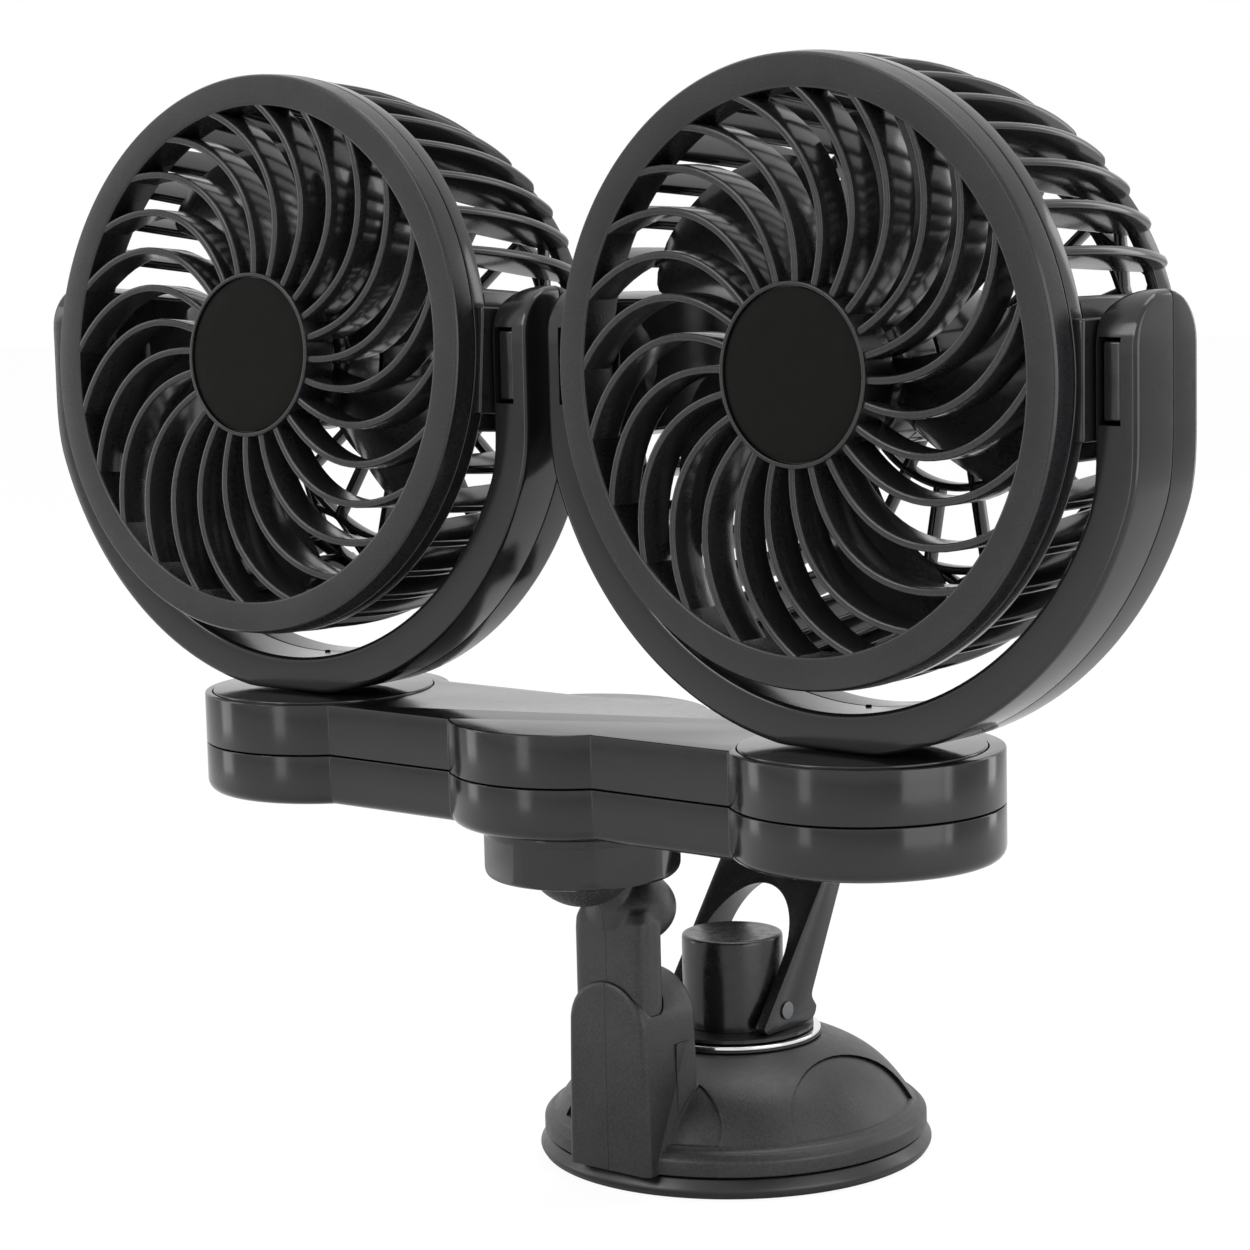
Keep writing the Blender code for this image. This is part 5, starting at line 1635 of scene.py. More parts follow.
@dataclass
class Bar:
    """Bar of two shells with its screws and the collar nut, modelled in plan round the ball's axis."""

    half_spacing: float = 0.07048
    end_r: float = 0.0261
    middle_r: float = 0.0263
    waist: float = 0.0186
    corner: float = 0.0009
    lift: float = 0.0061
    lower_h: float = 0.0104
    upper_h: float = 0.0105
    top_soft: float = 0.0005
    bottom_soft: float = 0.0026
    head_ahead: float = 0.0013
    sunk: float = 0.0016
    table_r: float = 0.0234
    spigot_r: float = 0.008
    web: float = 0.002
    retainer_r: float = 0.0115
    screw_x: float = 0.042
    screw_y: float = 0.011
    socket_r: float = 0.0151
    socket_wall: float = 0.0018
    nut_r: float = 0.0198
    nut_flat_r: float = 0.0187
    nut_top_h: float = 0.0054
    nut_collar_h: float = 0.0036
    nut_bottom_h: float = -0.0052
    nut_lip_h: float = -0.0033
    nut_foot_r: float = 0.015
    nut_lip_r: float = 0.0121
    nut_flats: int = 8
    nut_cutter: Pair = (0.04, 0.03)
    socket_soft: float = 0.0003
    nut_softs: tuple[float, ...] = (0.0003, 0.0005, 0.0036, 0.0006, 0.0, 0.0, 0.0003)
    screw_past: float = 0.0051
    socket_foot: float = 0.0019
    socket_top: float = 0.015
    thread_start: float = 0.0008
    thread_pitch: float = 0.0015
    thread_half: float = 0.0004
    thread_depth: float = 0.00035
    thread_turns: int = 4

    def outline(self, inset: float) -> Outline:
        """Plan of the bar drawn in by an inset: two end discs, a middle disc and straight waists.

        Args:
            inset: how far the outline is drawn in.

        Returns:
            The outline's points.
        """
        waist, end_r, middle_r = self.waist - inset, self.end_r - inset, self.middle_r - inset
        end = math.degrees(math.asin(waist / end_r))
        middle = math.degrees(math.asin(waist / middle_r))
        chains = [
            arc(end_r, -180 + end, 180 - end, 72, (self.half_spacing, 0)),
            arc(middle_r, middle, 180 - middle, 28),
            arc(end_r, end, 360 - end, 72, (-self.half_spacing, 0)),
            arc(middle_r, 180 + middle, 360 - middle, 28),
        ]
        points, radii = [], []
        for chain in chains:
            points += chain
            radii += [self.corner] + [0.0] * (len(chain) - 2) + [self.corner]
        return rounded(points, radii, 4)

    def levels(
        self, low: float, high: float, low_soft: float, high_soft: float
    ) -> list[tuple[Outline, float]]:
        """Outlines of a shell from its bottom to its top, with rounded edges.

        Args:
            low: lower end.
            high: upper end.
            low_soft: rounding of the lower edge.
            high_soft: rounding of the upper edge.

        Returns:
            The outlines with their heights.
        """
        lower = [(self.outline(down), low + across) for down, across in quarter(low_soft, 6)]
        return lower + [(self.outline(across), high - down) for down, across in quarter(high_soft, 4)]

    def seat_room(self, top: float, bottom: float) -> Shape:
        """Cutter for a turntable's seat, its spigot and its retainer.

        Args:
            top: height of the bar's top.
            bottom: height of the upper shell's foot.

        Returns:
            The object.
        """
        floor = top - self.sunk - GAP
        profile = [
            (0.0, top + CLEAR),
            (self.table_r + GAP, top + CLEAR),
            (self.table_r + GAP, floor),
            (self.spigot_r + GAP, floor),
            (self.spigot_r + GAP, floor - self.web),
            (self.retainer_r + GAP, floor - self.web),
            (self.retainer_r + GAP, bottom - CLEAR),
            (0.0, bottom - CLEAR),
        ]
        return lathe("seat_room", profile, 128)

    def upper(self, name: str, ball_z: float) -> Shape:
        """Upper shell with both seats.

        Args:
            name: its name.
            ball_z: height of the ball's centre.

        Returns:
            The object.
        """
        low = ball_z + self.lift + self.lower_h + GAP
        high = low + self.upper_h
        shell = stacked(name, self.levels(low, high, SEAM_SOFT, self.top_soft))
        for sign in (-1, 1):
            room = shifted(self.seat_room(high, low), sign * self.half_spacing, -self.head_ahead, 0)
            shell = combined(shell, room)
        return shaded(self.with_screw_rooms(shell, ball_z + self.lift), SHARPER_DEG)

    def with_screw_rooms(self, shell: Shape, bottom: float) -> Shape:
        """Cuts the four screws' rooms in a shell.

        Args:
            shell: the shell.
            bottom: height of the bar's lower face.

        Returns:
            The object.
        """
        for x, y in self.screw_spots():
            room = screw_room(bottom, bottom + self.lower_h + self.screw_past)
            shell = combined(shell, shifted(lathe("screw_room", room, 32), x, y, 0))
        return shell

    def lower(self, name: str, ball_z: float) -> Shape:
        """Lower shell with the threaded socket of the ball joint.

        Args:
            name: its name.
            ball_z: height of the ball's centre.

        Returns:
            The object.
        """
        low = ball_z + self.lift
        shell = stacked(name, self.levels(low, low + self.lower_h, self.bottom_soft, SEAM_SOFT))
        wall = self.socket_r + self.socket_wall
        foot = ball_z - self.socket_foot
        tube = [(0.0, foot), (wall - self.socket_soft, foot), (wall, foot + self.socket_soft)]
        for index in range(self.thread_turns):
            height = foot + self.thread_start + index * self.thread_pitch
            tube.append((wall, height))
            tube.append((wall - self.thread_depth, height + self.thread_half))
            tube.append((wall, height + 2 * self.thread_half))
        tube += [(wall, low + self.bottom_soft), (0.0, low + self.bottom_soft)]
        shell = combined(shell, lathe("socket", tube, 96), Join.FUSE)
        shell = combined(shell, lathe("bore", rod(self.socket_r, ball_z + self.socket_top, foot - CLEAR), 96))
        return shaded(self.with_screw_rooms(shell, low), SHARPER_DEG)

    def screw_spots(self) -> list[Pair]:
        """Places of the four screws."""
        return [(sx * self.screw_x, sy * self.screw_y) for sx in (-1, 1) for sy in (-1, 1)]

    def nut(self, name: str) -> Shape:
        """Collar nut with eight broad flats, round the ball's centre.

        Args:
            name: its name.

        Returns:
            The object.
        """
        thread = self.socket_r + self.socket_wall + GAP
        corners = [
            (thread, self.nut_top_h),
            (self.nut_r, self.nut_top_h),
            (self.nut_r, self.nut_bottom_h),
            (self.nut_foot_r, self.nut_bottom_h),
            (self.nut_lip_r, self.nut_lip_h - GAP),
            (self.nut_lip_r, self.nut_lip_h),
            (thread, self.nut_lip_h),
        ]
        nut = lathe(name, rounded(corners, list(self.nut_softs), 8), 144, ring=True)
        for index in range(self.nut_flats):
            reach, half = self.nut_cutter
            low = (self.nut_flat_r, -half, self.nut_bottom_h - CLEAR)
            flat = block("flat", low, (reach, half, self.nut_collar_h))
            nut = combined(nut, turned(flat, 360 / self.nut_flats * (index + 0.5), "Z"))
        return softened(nut, SEAM_SOFT, 2, 26.0)

    def dress(self, shop: Workshop) -> None:
        """Builds the bar's pieces and puts them in the fan.

        Args:
            shop: the workshop.
        """
        centre = Vector(joint("bar_swivel")["pos_m"])
        upright = Matrix.Translation((centre.x, centre.y, 0))
        upper, lower = self.upper("bar_upper_looks", centre.z), self.lower("bar_lower_looks", centre.z)
        shop.fit(upper, Finish.SHELL_ABS, "bar", upright, ["upper_shell"])
        shop.fit(lower, Finish.SHELL_ABS, "bar", upright, ["lower_shell"])
        for number, (x, y) in enumerate(self.screw_spots(), 1):
            place = upright @ Matrix.Translation((x, y, centre.z + self.lift))
            screw = Screw().build(f"bar_screw_{number}_looks", self.lower_h)
            shop.fit(screw, Finish.ZINC_STEEL, "bar", place, [f"bar_screw_{number}"])
        nut = self.nut("collar_nut_looks")
        shop.fit(nut, Finish.POLISHED_ABS, "nut", Matrix.Translation(centre), ["collar_nut"])


@dataclass
class BallArm:
    """Arm round the ball's centre: pitted ball, stem, rounded knob and the neck that plugs into the tower."""

    ball_r: float = 0.012
    stem_r: float = 0.0046
    stem_deg: float = 40.0
    knob_back: float = 0.0148
    knob_drop: float = 0.015
    knob_half: Triple = (0.0094, 0.0094, 0.0077)
    neck_front: float = 0.0063
    neck_depth: float = 0.0084
    neck_half: float = 0.0093
    neck_corner: float = 0.0028
    neck_foot_z: float = 0.0294
    neck_top_h: float = 0.003
    neck_round: float = 0.006
    # Shares of the top's rounding that move the neck back, narrow it and thin it.
    neck_pull: Triple = (0.5, 0.62, 0.3)
    # The stem's lengths and its widening into the knob.
    stem_spots: tuple[Pair, ...] = ((1.0, -0.0125), (1.1, -0.0165), (1.3, -0.019))
    flow_size: float = 0.00038

    def neck(self, ball_z: float) -> Shape:
        """Neck with a rounded front top edge.

        Args:
            ball_z: height of the ball's centre.

        Returns:
            The object.
        """
        middle = self.neck_front + self.neck_depth / 2
        rings = []
        foot, top = self.neck_foot_z - ball_z, -self.knob_drop + self.neck_top_h
        back, narrow, thin = self.neck_pull
        for index in range(15):
            height = foot + (top - foot) * index / 14
            past = max(height - (top - self.neck_round), 0.0) / self.neck_round
            pull = self.neck_round * (1 - sqrt(max(1 - past**2, 0.0)))
            spot = Vector((0, middle + pull * back, height))
            half_x = self.neck_half - pull * narrow
            half_y = self.neck_depth / 2 - pull * thin
            rings.append(box_section(spot, X_WAY, Y_WAY, half_x, half_y, self.neck_corner, 6))
        return loft("neck", rings)

    def knob(self) -> Shape:
        """Rounded knob behind the neck.

        Returns:
            The object.
        """
        knob = lathe("knob", self.globe(1, 6), 72)
        moved(knob, Matrix.Diagonal((*self.knob_half, 1)))
        return shifted(knob, 0, self.knob_back, -self.knob_drop)

    def globe(self, radius: float, step: int) -> Outline:
        """Half circle from the lower pole to the upper one, in steps of so many degrees."""
        turns = [radians(turn) for turn in range(-90, 91, step)]
        return [(max(radius * cos(turn), 0.0), radius * sin(turn)) for turn in turns]

    def arm(self, name: str, ball_z: float) -> Shape:
        """Neck, knob and stem flowing into each other.

        Args:
            name: its name.
            ball_z: height of the ball's centre.

        Returns:
            The object.
        """
        profile = [(0.0, 0.0), (self.stem_r, 0.0)]
        profile += [(self.stem_r * share, height) for share, height in self.stem_spots]
        stem = lathe("stem", profile + [(0.0, self.stem_spots[-1][1])], 64)
        body = joined(name, [self.neck(ball_z), self.knob(), turned(stem, self.stem_deg, "X")])
        flow = body.modifiers.new("Flow", "REMESH")
        flow.mode = "VOXEL"
        flow.voxel_size = self.flow_size
        smooth = body.modifiers.new("Smooth", "SMOOTH")
        smooth.factor = 0.5
        smooth.iterations = 5
        evaluated(body)
        return shaded(body, 60.0)

    def ball(self, name: str) -> Shape:
        """The whole ball that the bar turns on."""
        return lathe(name, self.globe(self.ball_r, 3), 96)

    def dress(self, shop: Workshop) -> None:
        """Builds the arm and its ball and puts them in the fan.

        Args:
            shop: the workshop.
        """
        centre = Vector(joint("bar_nod")["pos_m"])
        place = Matrix.Translation(centre)
        arm = self.arm("ball_arm_looks", centre.z)
        shop.fit(arm, Finish.GRAINED_ABS, "base", place, ["ball_arm"])
        shop.fit(self.ball("ball_looks"), Finish.PITTED_ABS, "base", place, ["ball_arm"])
        shop.repaint("ball_cap", Finish.POLYAMIDE)
        shop.repaint("ball_collet", Finish.POLYAMIDE)


@dataclass
class SuctionBase:
    """Suction cup, housing with its tower, post, lever, pin and rings, round the cup's axis."""

    cup_r: float = 0.0422
    cup_foot_r: float = 0.0412
    cup_widest_z: float = 0.0016
    cup_top_r: float = 0.0405
    cup_top_z: float = 0.0041
    housing_r: float = 0.041
    housing_z: float = 0.0044
    rim_z: float = 0.0076
    rim_top_r: float = 0.0396
    rim_top_z: float = 0.009
    dome_foot_r: float = 0.0384
    dome_foot_z: float = 0.0095
    dome_top_r: float = 0.0196
    dome_top_z: float = 0.0241
    dome_bulge: float = 0.0017
    panel_half: float = 0.0205
    panel_foot_z: float = 0.01
    panel_top_z: float = 0.0222
    panel_depth: float = 0.001
    post_r: float = 0.0108
    post_top_z: float = 0.0463
    post_flange_r: float = 0.015
    post_flange_h: float = 0.003
    post_lift: float = 0.0053
    ring_r: float = 0.0186
    ring_thick: float = 0.0013
    ring_bright: float = 0.0008
    ring_seat_gap: float = 0.00005
    ring_seat_out: float = 0.0002
    post_dish: float = 0.0004
    post_dish_share: float = 0.8
    pin_head_h: float = 0.0004
    pin_head_gap: float = 0.00005
    housing_soft: float = 0.00028
    lever_soft: float = 0.0006
    tower_front: float = 0.0429
    tower_depth: float = 0.0178
    tower_half_top: float = 0.01
    tower_half_foot: float = 0.0108
    tower_top_z: float = 0.0444
    tower_soft: float = 0.0016
    slot_middle: float = 0.0379
    slot_foot_z: float = 0.0291
    slot_half: Pair = (0.0096, 0.0045)
    slot_corner: float = 0.0031
    # The catch's outline on the tower's side: (back, up) points, and its half width, half height and corner.
    catch_path: tuple[Pair, ...] = (
        (-0.0285, 0.03),
        (-0.0325, 0.03),
        (-0.0325, 0.014),
        (-0.0278, 0.014),
    )
    catch_line: Triple = (0.00022, 0.00018, 0.0001)
    catch_out: float = 0.0003
    catch_lean: float = 0.00005
    # How deep and how high the tower's root keeps the front panel away.
    root_depth: float = 0.05
    root_top_z: float = 0.03
    pin_r: float = 0.0015
    pin_head_r: float = 0.0019
    lever_half: float = 0.0143
    lever_inner: float = 0.0118
    lever_heel_z: float = 0.027
    lever_heel_soft: float = 0.003
    lever_heel_back: float = 0.0106
    lever_toe_front: float = 0.008
    lever_toe_soft: float = 0.0012
    lever_back: Pair = (0.0088, 0.0324)
    lever_top_back: Pair = (0.0261, 0.0676)
    lever_top_front: Pair = (0.0226, 0.0686)
    arch_spring_z: float = 0.0404
    arch_top_z: float = 0.0546
    arch_reach: float = 0.04

    def cup(self, name: str) -> Shape:
        """Soft cup with a rounded lip, flat where it is pressed on.

        Args:
            name: its name.

        Returns:
            The object.
        """
        corners = [
            (0.0, self.cup_top_z),
            (self.cup_top_r, self.cup_top_z),
            (self.cup_r, self.cup_widest_z),
            (self.cup_foot_r, 0.0),
            (0.0, 0.0),
        ]
        return lathe(name, rounded(corners, [0.0, 0.0008, 0.0012, 0.0006, 0.0], 5), 160)

    def dome_points(self, shrink: float) -> Outline:
        """Side outline of the dome from its top edge to its foot, drawn in by a little.

        Args:
            shrink: how far the dome is drawn in.

        Returns:
            (radius, height) points.
        """
        points = []
        for index in range(25):
            part = index / 24
            bulge = self.dome_bulge * sin(pi * part)
            radius = self.dome_top_r + (self.dome_foot_r - self.dome_top_r) * part + bulge - shrink
            points.append((radius, self.dome_top_z + (self.dome_foot_z - self.dome_top_z) * part + bulge))
        return points

    def housing(self, name: str) -> Shape:
        """Dome with arched panels, rim and tower in one moulding.

        Args:
            name: its name.

        Returns:
            The object.
        """
        corners = [
            (self.rim_top_r, self.rim_top_z),
            (self.housing_r, self.rim_z),
            (self.housing_r, self.housing_z),
            (0.0, self.housing_z),
        ]
        rim = rounded(corners, [0.0006, 0.0012, 0.0004, 0.0])
        body = lathe(name, [(0.0, self.dome_top_z)] + self.dome_points(0.0) + rim, 192)
        for turn in (0, 90, 180, 270):
            body = combined(body, self.panel_cutter(turn))
        body = combined(body, self.tower(), Join.FUSE)
        run = self.post_r + POST_GAP
        flange_top = self.housing_z + self.post_flange_h + self.post_lift + GAP
        room = [
            (0.0, self.dome_top_z + CLEAR),
            (run, self.dome_top_z + CLEAR),
            (run, flange_top),
            (self.post_flange_r + POST_GAP, flange_top),
            (self.post_flange_r + POST_GAP, self.housing_z - CLEAR),
            (0.0, self.housing_z - CLEAR),
        ]
        body = combined(body, lathe("room", room, 96))
        body = combined(body, self.slot())
        return softened(body, self.housing_soft, 2, 33.0)

    def panel_cutter(self, turn: float) -> Shape:
        """Cutter for one arched panel, 1 mm deep, clear of the tower's root.

        Args:
            turn: the panel's angle round the dome, in degrees.

        Returns:
            The object.
        """
        outline = [(-self.panel_half, self.panel_foot_z), (self.panel_half, self.panel_foot_z)]
        for index in range(1, 24):
            angle = pi * index / 24
            rise = self.panel_foot_z + (self.panel_top_z - self.panel_foot_z) * sin(angle)
            outline.append((self.panel_half * cos(angle), rise))
        arch = prism("arch", outline, self.post_flange_r, self.housing_r + CLEAR)
        turned(moved(arch, STAND_UP), turn, "Z")
        profile = [(0.0, self.dome_top_z)] + self.dome_points(self.panel_depth) + [(0.0, self.dome_foot_z)]
        arch = combined(arch, lathe("core", profile, 192))
        if turn == 270:
            half = self.tower_half_foot
            root = block("root", (-half, -self.root_depth, 0.0), (half, 0.0, self.root_top_z))
            arch = combined(arch, root)
        return arch

    def tower_outline(self, inset: float) -> Outline:
        """Front outline of the tower, drawn in by an inset.

        Args:
            inset: how far the outline is drawn in.

        Returns:
            The outline's points.
        """
        top_half = self.tower_half_top - inset
        spring = self.tower_top_z - self.tower_half_top
        foot = self.tower_half_foot - inset
        return [(-foot, self.housing_z), (foot, self.housing_z)] + arc(top_half, 0, 180, 40, (0, spring))

    def tower(self) -> Shape:
        """Tower in front of the dome with rounded front and rear edges.

        Returns:
            The object.
        """
        front = self.tower_front
        rear = front - self.tower_depth
        edge = quarter(self.tower_soft, 5)
        levels = [(self.tower_outline(down), rear + across) for down, across in edge]
        levels += [(self.tower_outline(across), front - down) for down, across in edge]
        return turned(stacked("tower", levels), 90, "X")

    def slot(self) -> Shape:
        """Cutter for the socket that the neck plugs into.

        Returns:
            The object.
        """
        middle = Vector((0, -self.slot_middle, 0))
        rings = []
        for height in (self.slot_foot_z, self.tower_top_z + CLEAR / 2):
            spot = middle + Vector((0, 0, height))
            rings.append(box_section(spot, X_WAY, Y_WAY, *self.slot_half, self.slot_corner, 6))
        return loft("slot", rings)

    def catch_groove(self, name: str) -> Shape:
        """Thin raised outline of the catch on the tower's right side.

        Args:
            name: its name.

        Returns:
            The object.
        """
        x = self.tower_half_top + self.catch_out
        path = [Vector((x + self.catch_lean * index, y, z)) for index, (y, z) in enumerate(self.catch_path)]
        parts = []
        for start, end in zip(path, path[1:]):
            along = X_WAY.cross((end - start).normalized())
            rings = [box_section(spot, X_WAY, along, *self.catch_line, 2) for spot in (start, end)]
            parts.append(loft("line", rings))
        return joined(name, parts)

    def ring(self, name: str) -> Shape:
        """Thin bright ring, the upper part of the trim on the dome's top.

        Args:
            name: its name.

        Returns:
            The object.
        """
        top = self.dome_top_z + GAP + self.ring_thick
        low = top - self.ring_bright
        inner = self.post_r + POST_GAP
        corners = [(self.ring_r, top), (self.ring_r, low), (inner, low), (inner, top)]
        return lathe(name, rounded(corners, [0.0003, 0.0002, 0.0002, 0.0002]), 160, ring=True)

    def ring_seat(self, name: str) -> Shape:
        """Black seat under the bright ring.

        Args:
            name: its name.

        Returns:
            The object.
        """
        low = self.dome_top_z + GAP
        high = low + self.ring_thick - self.ring_bright - self.ring_seat_gap
        inner, outer = self.post_r + POST_GAP, self.ring_r + self.ring_seat_out
        corners = [(outer, high), (outer, low), (inner, low), (inner, high)]
        return lathe(name, rounded(corners, 0.00015), 160, ring=True)

    def post(self, name: str) -> Shape:
        """Round post with a flange at its foot and a cross bore for the pin.

        Args:
            name: its name.

        Returns:
            The object.
        """
        low = self.housing_z
        corners = [
            (0.0, self.post_top_z - self.post_dish),
            (self.post_r * self.post_dish_share, self.post_top_z - self.post_dish / 2),
            (self.post_r, self.post_top_z),
            (self.post_r, low + self.post_flange_h),
            (self.post_flange_r, low + self.post_flange_h),
            (self.post_flange_r, low),
            (0.0, low),
        ]
        post = lathe(name, rounded(corners, [0.0, 0.001, 0.0009, 0.0, 0.0004, 0.0003, 0.0]), 96)
        return combined(post, cross_bore(self.pin_r + GAP, joint("lever_flip")["pos_m"][2]))

    def lever_side(self) -> Outline:
        """Side outline of the lever, (back, up): broad at the heel and slim at the top.

        Returns:
            The outline's points.
        """
        heel = (self.lever_heel_back - self.lever_heel_soft, self.lever_heel_z + self.lever_heel_soft)
        points = [(-self.lever_toe_front + self.lever_toe_soft, self.lever_heel_z)]
        points += arc(self.lever_heel_soft, -90, 0, 8, heel)
        points += [self.lever_back, self.lever_top_back]
        middle = (self.lever_top_back[0] + self.lever_top_front[0]) / 2
        points += [(middle, self.lever_top_front[1] + self.lever_toe_soft), self.lever_top_front]
        return points + [(-self.lever_toe_front, self.lever_heel_z + self.lever_toe_soft)]

    def lever(self, name: str) -> Shape:
        """Arched lever whose two legs straddle the post, with soft edges and a bore for the pin.

        Args:
            name: its name.

        Returns:
            The object.
        """
        pin_z = joint("lever_flip")["pos_m"][2]
        count = len(self.lever_side())
        radii = [0.001] + [0.0] * 9 + [0.002, 0.0008, 0.0006, 0.0008, 0.0012]
        body = prism(name, rounded(self.lever_side(), radii[:count]), -self.lever_half, self.lever_half)
        moved(body, STAND_UP)
        outline = [(side * self.lever_inner, self.lever_heel_z - CLEAR) for side in (-1, 1)]
        for index in range(41):
            angle = pi * index / 40
            rise = self.arch_spring_z + (self.arch_top_z - self.arch_spring_z) * sin(angle)
            outline.append((self.lever_inner * cos(angle), rise))
        arch = turned(prism("arch", outline, -self.arch_reach, self.arch_reach), 90, "X")
        body = combined(combined(body, arch), cross_bore(self.pin_r + GAP, pin_z))
        return softened(shifted(body, 0, 0, -pin_z), self.lever_soft, 3, 34.0)

    def pin(self, name: str) -> Shape:
        """Steel pin with peened ends.

        Args:
            name: its name.

        Returns:
            The object.
        """
        reach = self.lever_half + self.pin_head_h
        out, under = self.pin_head_r, self.lever_half + self.pin_head_gap
        corners = [(0.0, reach), (out, reach), (out, under), (self.pin_r, under)]
        corners += [(self.pin_r, -under), (out, -under), (out, -reach), (0.0, -reach)]
        pin = lathe(name, rounded(corners, [0.0, 0.0002, 0.0, 0.0, 0.0, 0.0, 0.0002, 0.0]), 40)
        return turned(pin, 90, "Y")

    def dress(self, shop: Workshop) -> None:
        """Builds the base's pieces and puts them in the fan.

        Args:
            shop: the workshop.
        """
        here = Matrix.Identity(4)
        pin_place = Matrix.Translation(joint("lever_flip")["pos_m"])
        grained = Finish.GRAINED_ABS
        for made, finish, body, place, node, slot in (
            (self.cup("suction_cup_looks"), Finish.SOFT_PVC, "base", here, "suction_cup", Slot.RUBBER),
            (self.housing("base_housing_looks"), grained, "base", here, "base_housing", Slot.SATIN),
            (self.catch_groove("tower_catch_looks"), grained, "base", here, "base_housing", Slot.SATIN),
            (self.ring("bright_ring_looks"), Finish.CHROME, "base", here, "bright_ring", Slot.BRIGHT),
            (self.ring_seat("ring_seat_looks"), grained, "base", here, "bright_ring", Slot.BRIGHT),
            (self.post("suction_post_looks"), Finish.WIPED_ABS, "post", here, "suction_post", Slot.SATIN),
            (self.lever("lever_looks"), Finish.SATIN_ABS, "lever", pin_place, "lever", Slot.SATIN),
            (self.pin("lever_pin_looks"), Finish.ZINC_STEEL, "post", pin_place, "lever_pin", Slot.STEEL),
        ):
            shop.fit(made, finish, body, place, [node])
        shop.repaint("ring_washer", Finish.POLYAMIDE)


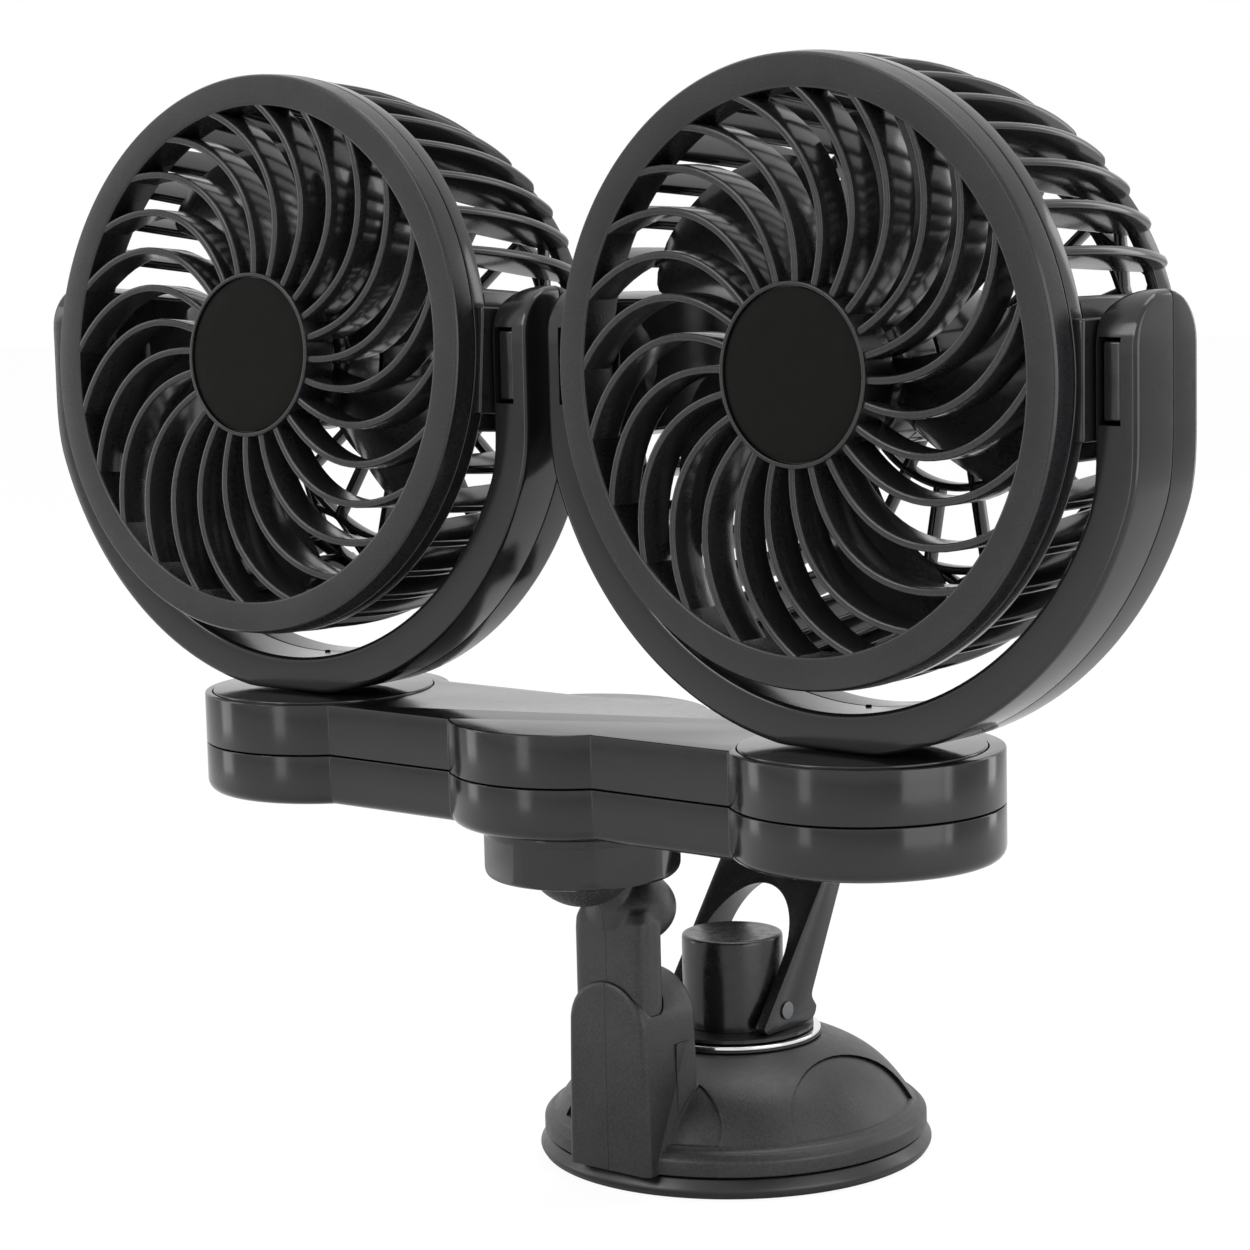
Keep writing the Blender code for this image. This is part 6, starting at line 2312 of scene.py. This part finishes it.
@dataclass
class Studio:
    """Pale floor, soft lights, white surround and the camera at the photograph's place."""

    azimuth: float = 39.75
    elevation: float = 7.71
    roll: float = -1.37
    camera_place: Triple = (0.4274, -0.5472, 0.2068)
    lens: float = 95.594
    floor_half: float = 3.0
    # Heights of the floor's foot and top.
    floor_levels: Pair = (-0.01, -0.0002)
    surround: float = 1.0
    fill: float = 0.55
    # Each strip light has an azimuth, a width and a radiance beside the surround's 1.
    strips: tuple[Triple, ...] = (
        (-62.0, 0.14, 1.9),
        (-8.0, 0.1, 1.8),
        (78.0, 0.34, 1.9),
        (98.0, 0.07, 2.6),
        (150.0, 0.14, 2.2),
    )
    strip_away: float = 0.62
    strip_tall: float = 0.5
    # Where the lamps look: the fan's middle.
    aim_y: float = -0.04
    aim_z: float = 0.12
    # The floor shines so much by itself, and this share of what the camera sees of it is that shine.
    floor_glow: float = 1.05
    floor_share: float = 0.88

    def camera(self) -> None:
        """Puts the camera where the photograph was taken from."""
        turn, rise, roll = (radians(value) for value in (self.azimuth, self.elevation, self.roll))
        back = Vector((sin(turn) * cos(rise), -cos(turn) * cos(rise), sin(rise)))
        level = Vector((cos(turn), sin(turn), 0))
        raised = back.cross(level)
        right = level * cos(roll) + raised * sin(roll)
        up = raised * cos(roll) - level * sin(roll)
        data = bpy.data.cameras.new("camera")
        data.sensor_width = 36.0
        data.lens = self.lens
        data.clip_start = 0.01
        obj = linked("camera", data)
        obj.matrix_world = axes_at(right, up, Vector(self.camera_place))
        bpy.context.scene.camera = obj

    def floor(self) -> None:
        """A wide white floor that keeps the fan's soft shadow."""
        half = self.floor_half
        corners = rounded([(-half, -half), (half, -half), (half, half), (-half, half)], 0.4, 8)
        floor = prism("floor", corners, *self.floor_levels)
        made = bpy.data.materials.new("Matt white studio floor")
        made.use_nodes = True
        tree = made.node_tree
        tree.nodes.remove(tree.nodes["Principled BSDF"])
        light = add_node(tree, "ShaderNodeLightPath")
        matt = add_node(tree, "ShaderNodeBsdfDiffuse", {"Color": linear("#f7f7f7")})
        shine = {"Color": linear("#ffffff"), "Strength": self.floor_glow}
        glow = add_node(tree, "ShaderNodeEmission", shine)
        camera = light.outputs["Is Camera Ray"]
        seen = add_node(tree, "ShaderNodeMath", {1: self.floor_share}, {0: camera}, operation="MULTIPLY")
        both = add_node(
            tree, "ShaderNodeMixShader", {}, {0: seen.outputs[0], 1: matt.outputs[0], 2: glow.outputs[0]}
        )
        tree.links.new(both.outputs[0], tree.nodes["Material Output"].inputs["Surface"])
        floor.data.materials.append(made)

    def world(self) -> None:
        """White for the camera and in reflections, and a plainer fill for the rest."""
        scene = bpy.context.scene
        scene.world = scene.world or bpy.data.worlds.new("studio")
        scene.world.use_nodes = True
        tree = scene.world.node_tree
        tree.nodes.clear()
        light = add_node(tree, "ShaderNodeLightPath")
        seen = add_node(
            tree,
            "ShaderNodeMath",
            {},
            {0: light.outputs["Is Camera Ray"], 1: light.outputs["Is Glossy Ray"]},
            operation="MAXIMUM",
        )
        clear = add_node(
            tree,
            "ShaderNodeMath",
            {},
            {0: seen.outputs[0], 1: light.outputs["Is Transmission Ray"]},
            operation="MAXIMUM",
        )
        colour = linear("#ffffff")
        fill = add_node(tree, "ShaderNodeBackground", {"Color": colour, "Strength": self.fill})
        white = add_node(tree, "ShaderNodeBackground", {"Color": colour, "Strength": self.surround})
        both = add_node(
            tree, "ShaderNodeMixShader", {}, {0: clear.outputs[0], 1: fill.outputs[0], 2: white.outputs[0]}
        )
        add_node(tree, "ShaderNodeOutputWorld", {}, {"Surface": both.outputs[0]})

    def lamp(
        self,
        name: str,
        place: Sequence[float],
        width: float,
        height: float,
        power: float,
        upright: bool = False,
    ) -> None:
        """A soft rectangular lamp that looks at the fan.

        Args:
            name: name of the lamp.
            place: where it stands.
            width: its width.
            height: its height.
            power: its power in watts.
            upright: whether it stands upright, as a strip light does, or leans to the fan.
        """
        data = bpy.data.lights.new(name, "AREA")
        data.shape = "RECTANGLE"
        data.size = width
        data.size_y = height
        data.energy = power
        obj = linked(name, data)
        obj.location = place
        target = Vector((0, self.aim_y, place[2] if upright else self.aim_z))
        obj.rotation_euler = (target - Vector(place)).to_track_quat("-Z", "Y").to_euler()

    def build(self) -> None:
        """Builds the whole studio."""
        bpy.context.scene.view_settings.view_transform = "Standard"
        self.camera()
        self.floor()
        self.world()
        self.lamp("key", (-0.45, -1.25, 0.95), 0.8, 0.6, 6.0)
        self.lamp("top", (0.05, 0.25, 1.3), 0.8, 0.8, 5.0)
        for number, (turn, width, glow) in enumerate(self.strips, 1):
            angle = radians(turn)
            away, tall = self.strip_away, self.strip_tall
            place = (away * sin(angle), -away * cos(angle), tall / 2)
            self.lamp(f"strip_{number}", place, width, tall, pi * width * tall * glow, True)
        LOG.info("studio: camera, floor, world and %d lamps", 2 + len(self.strips))


def main() -> None:
    """Builds the studio and the fan's sub-assemblies in order."""
    logging.basicConfig(level=logging.INFO, format="%(message)s")
    Studio().build()
    shop = Workshop()
    for side, phase in BLADE_PHASES.items():
        FanHead(blade_phase=phase).dress(shop, side)
        Yoke().dress(shop, side)
    Bar().dress(shop)
    BallArm().dress(shop)
    SuctionBase().dress(shop)


if __name__ == "__main__":
    main()
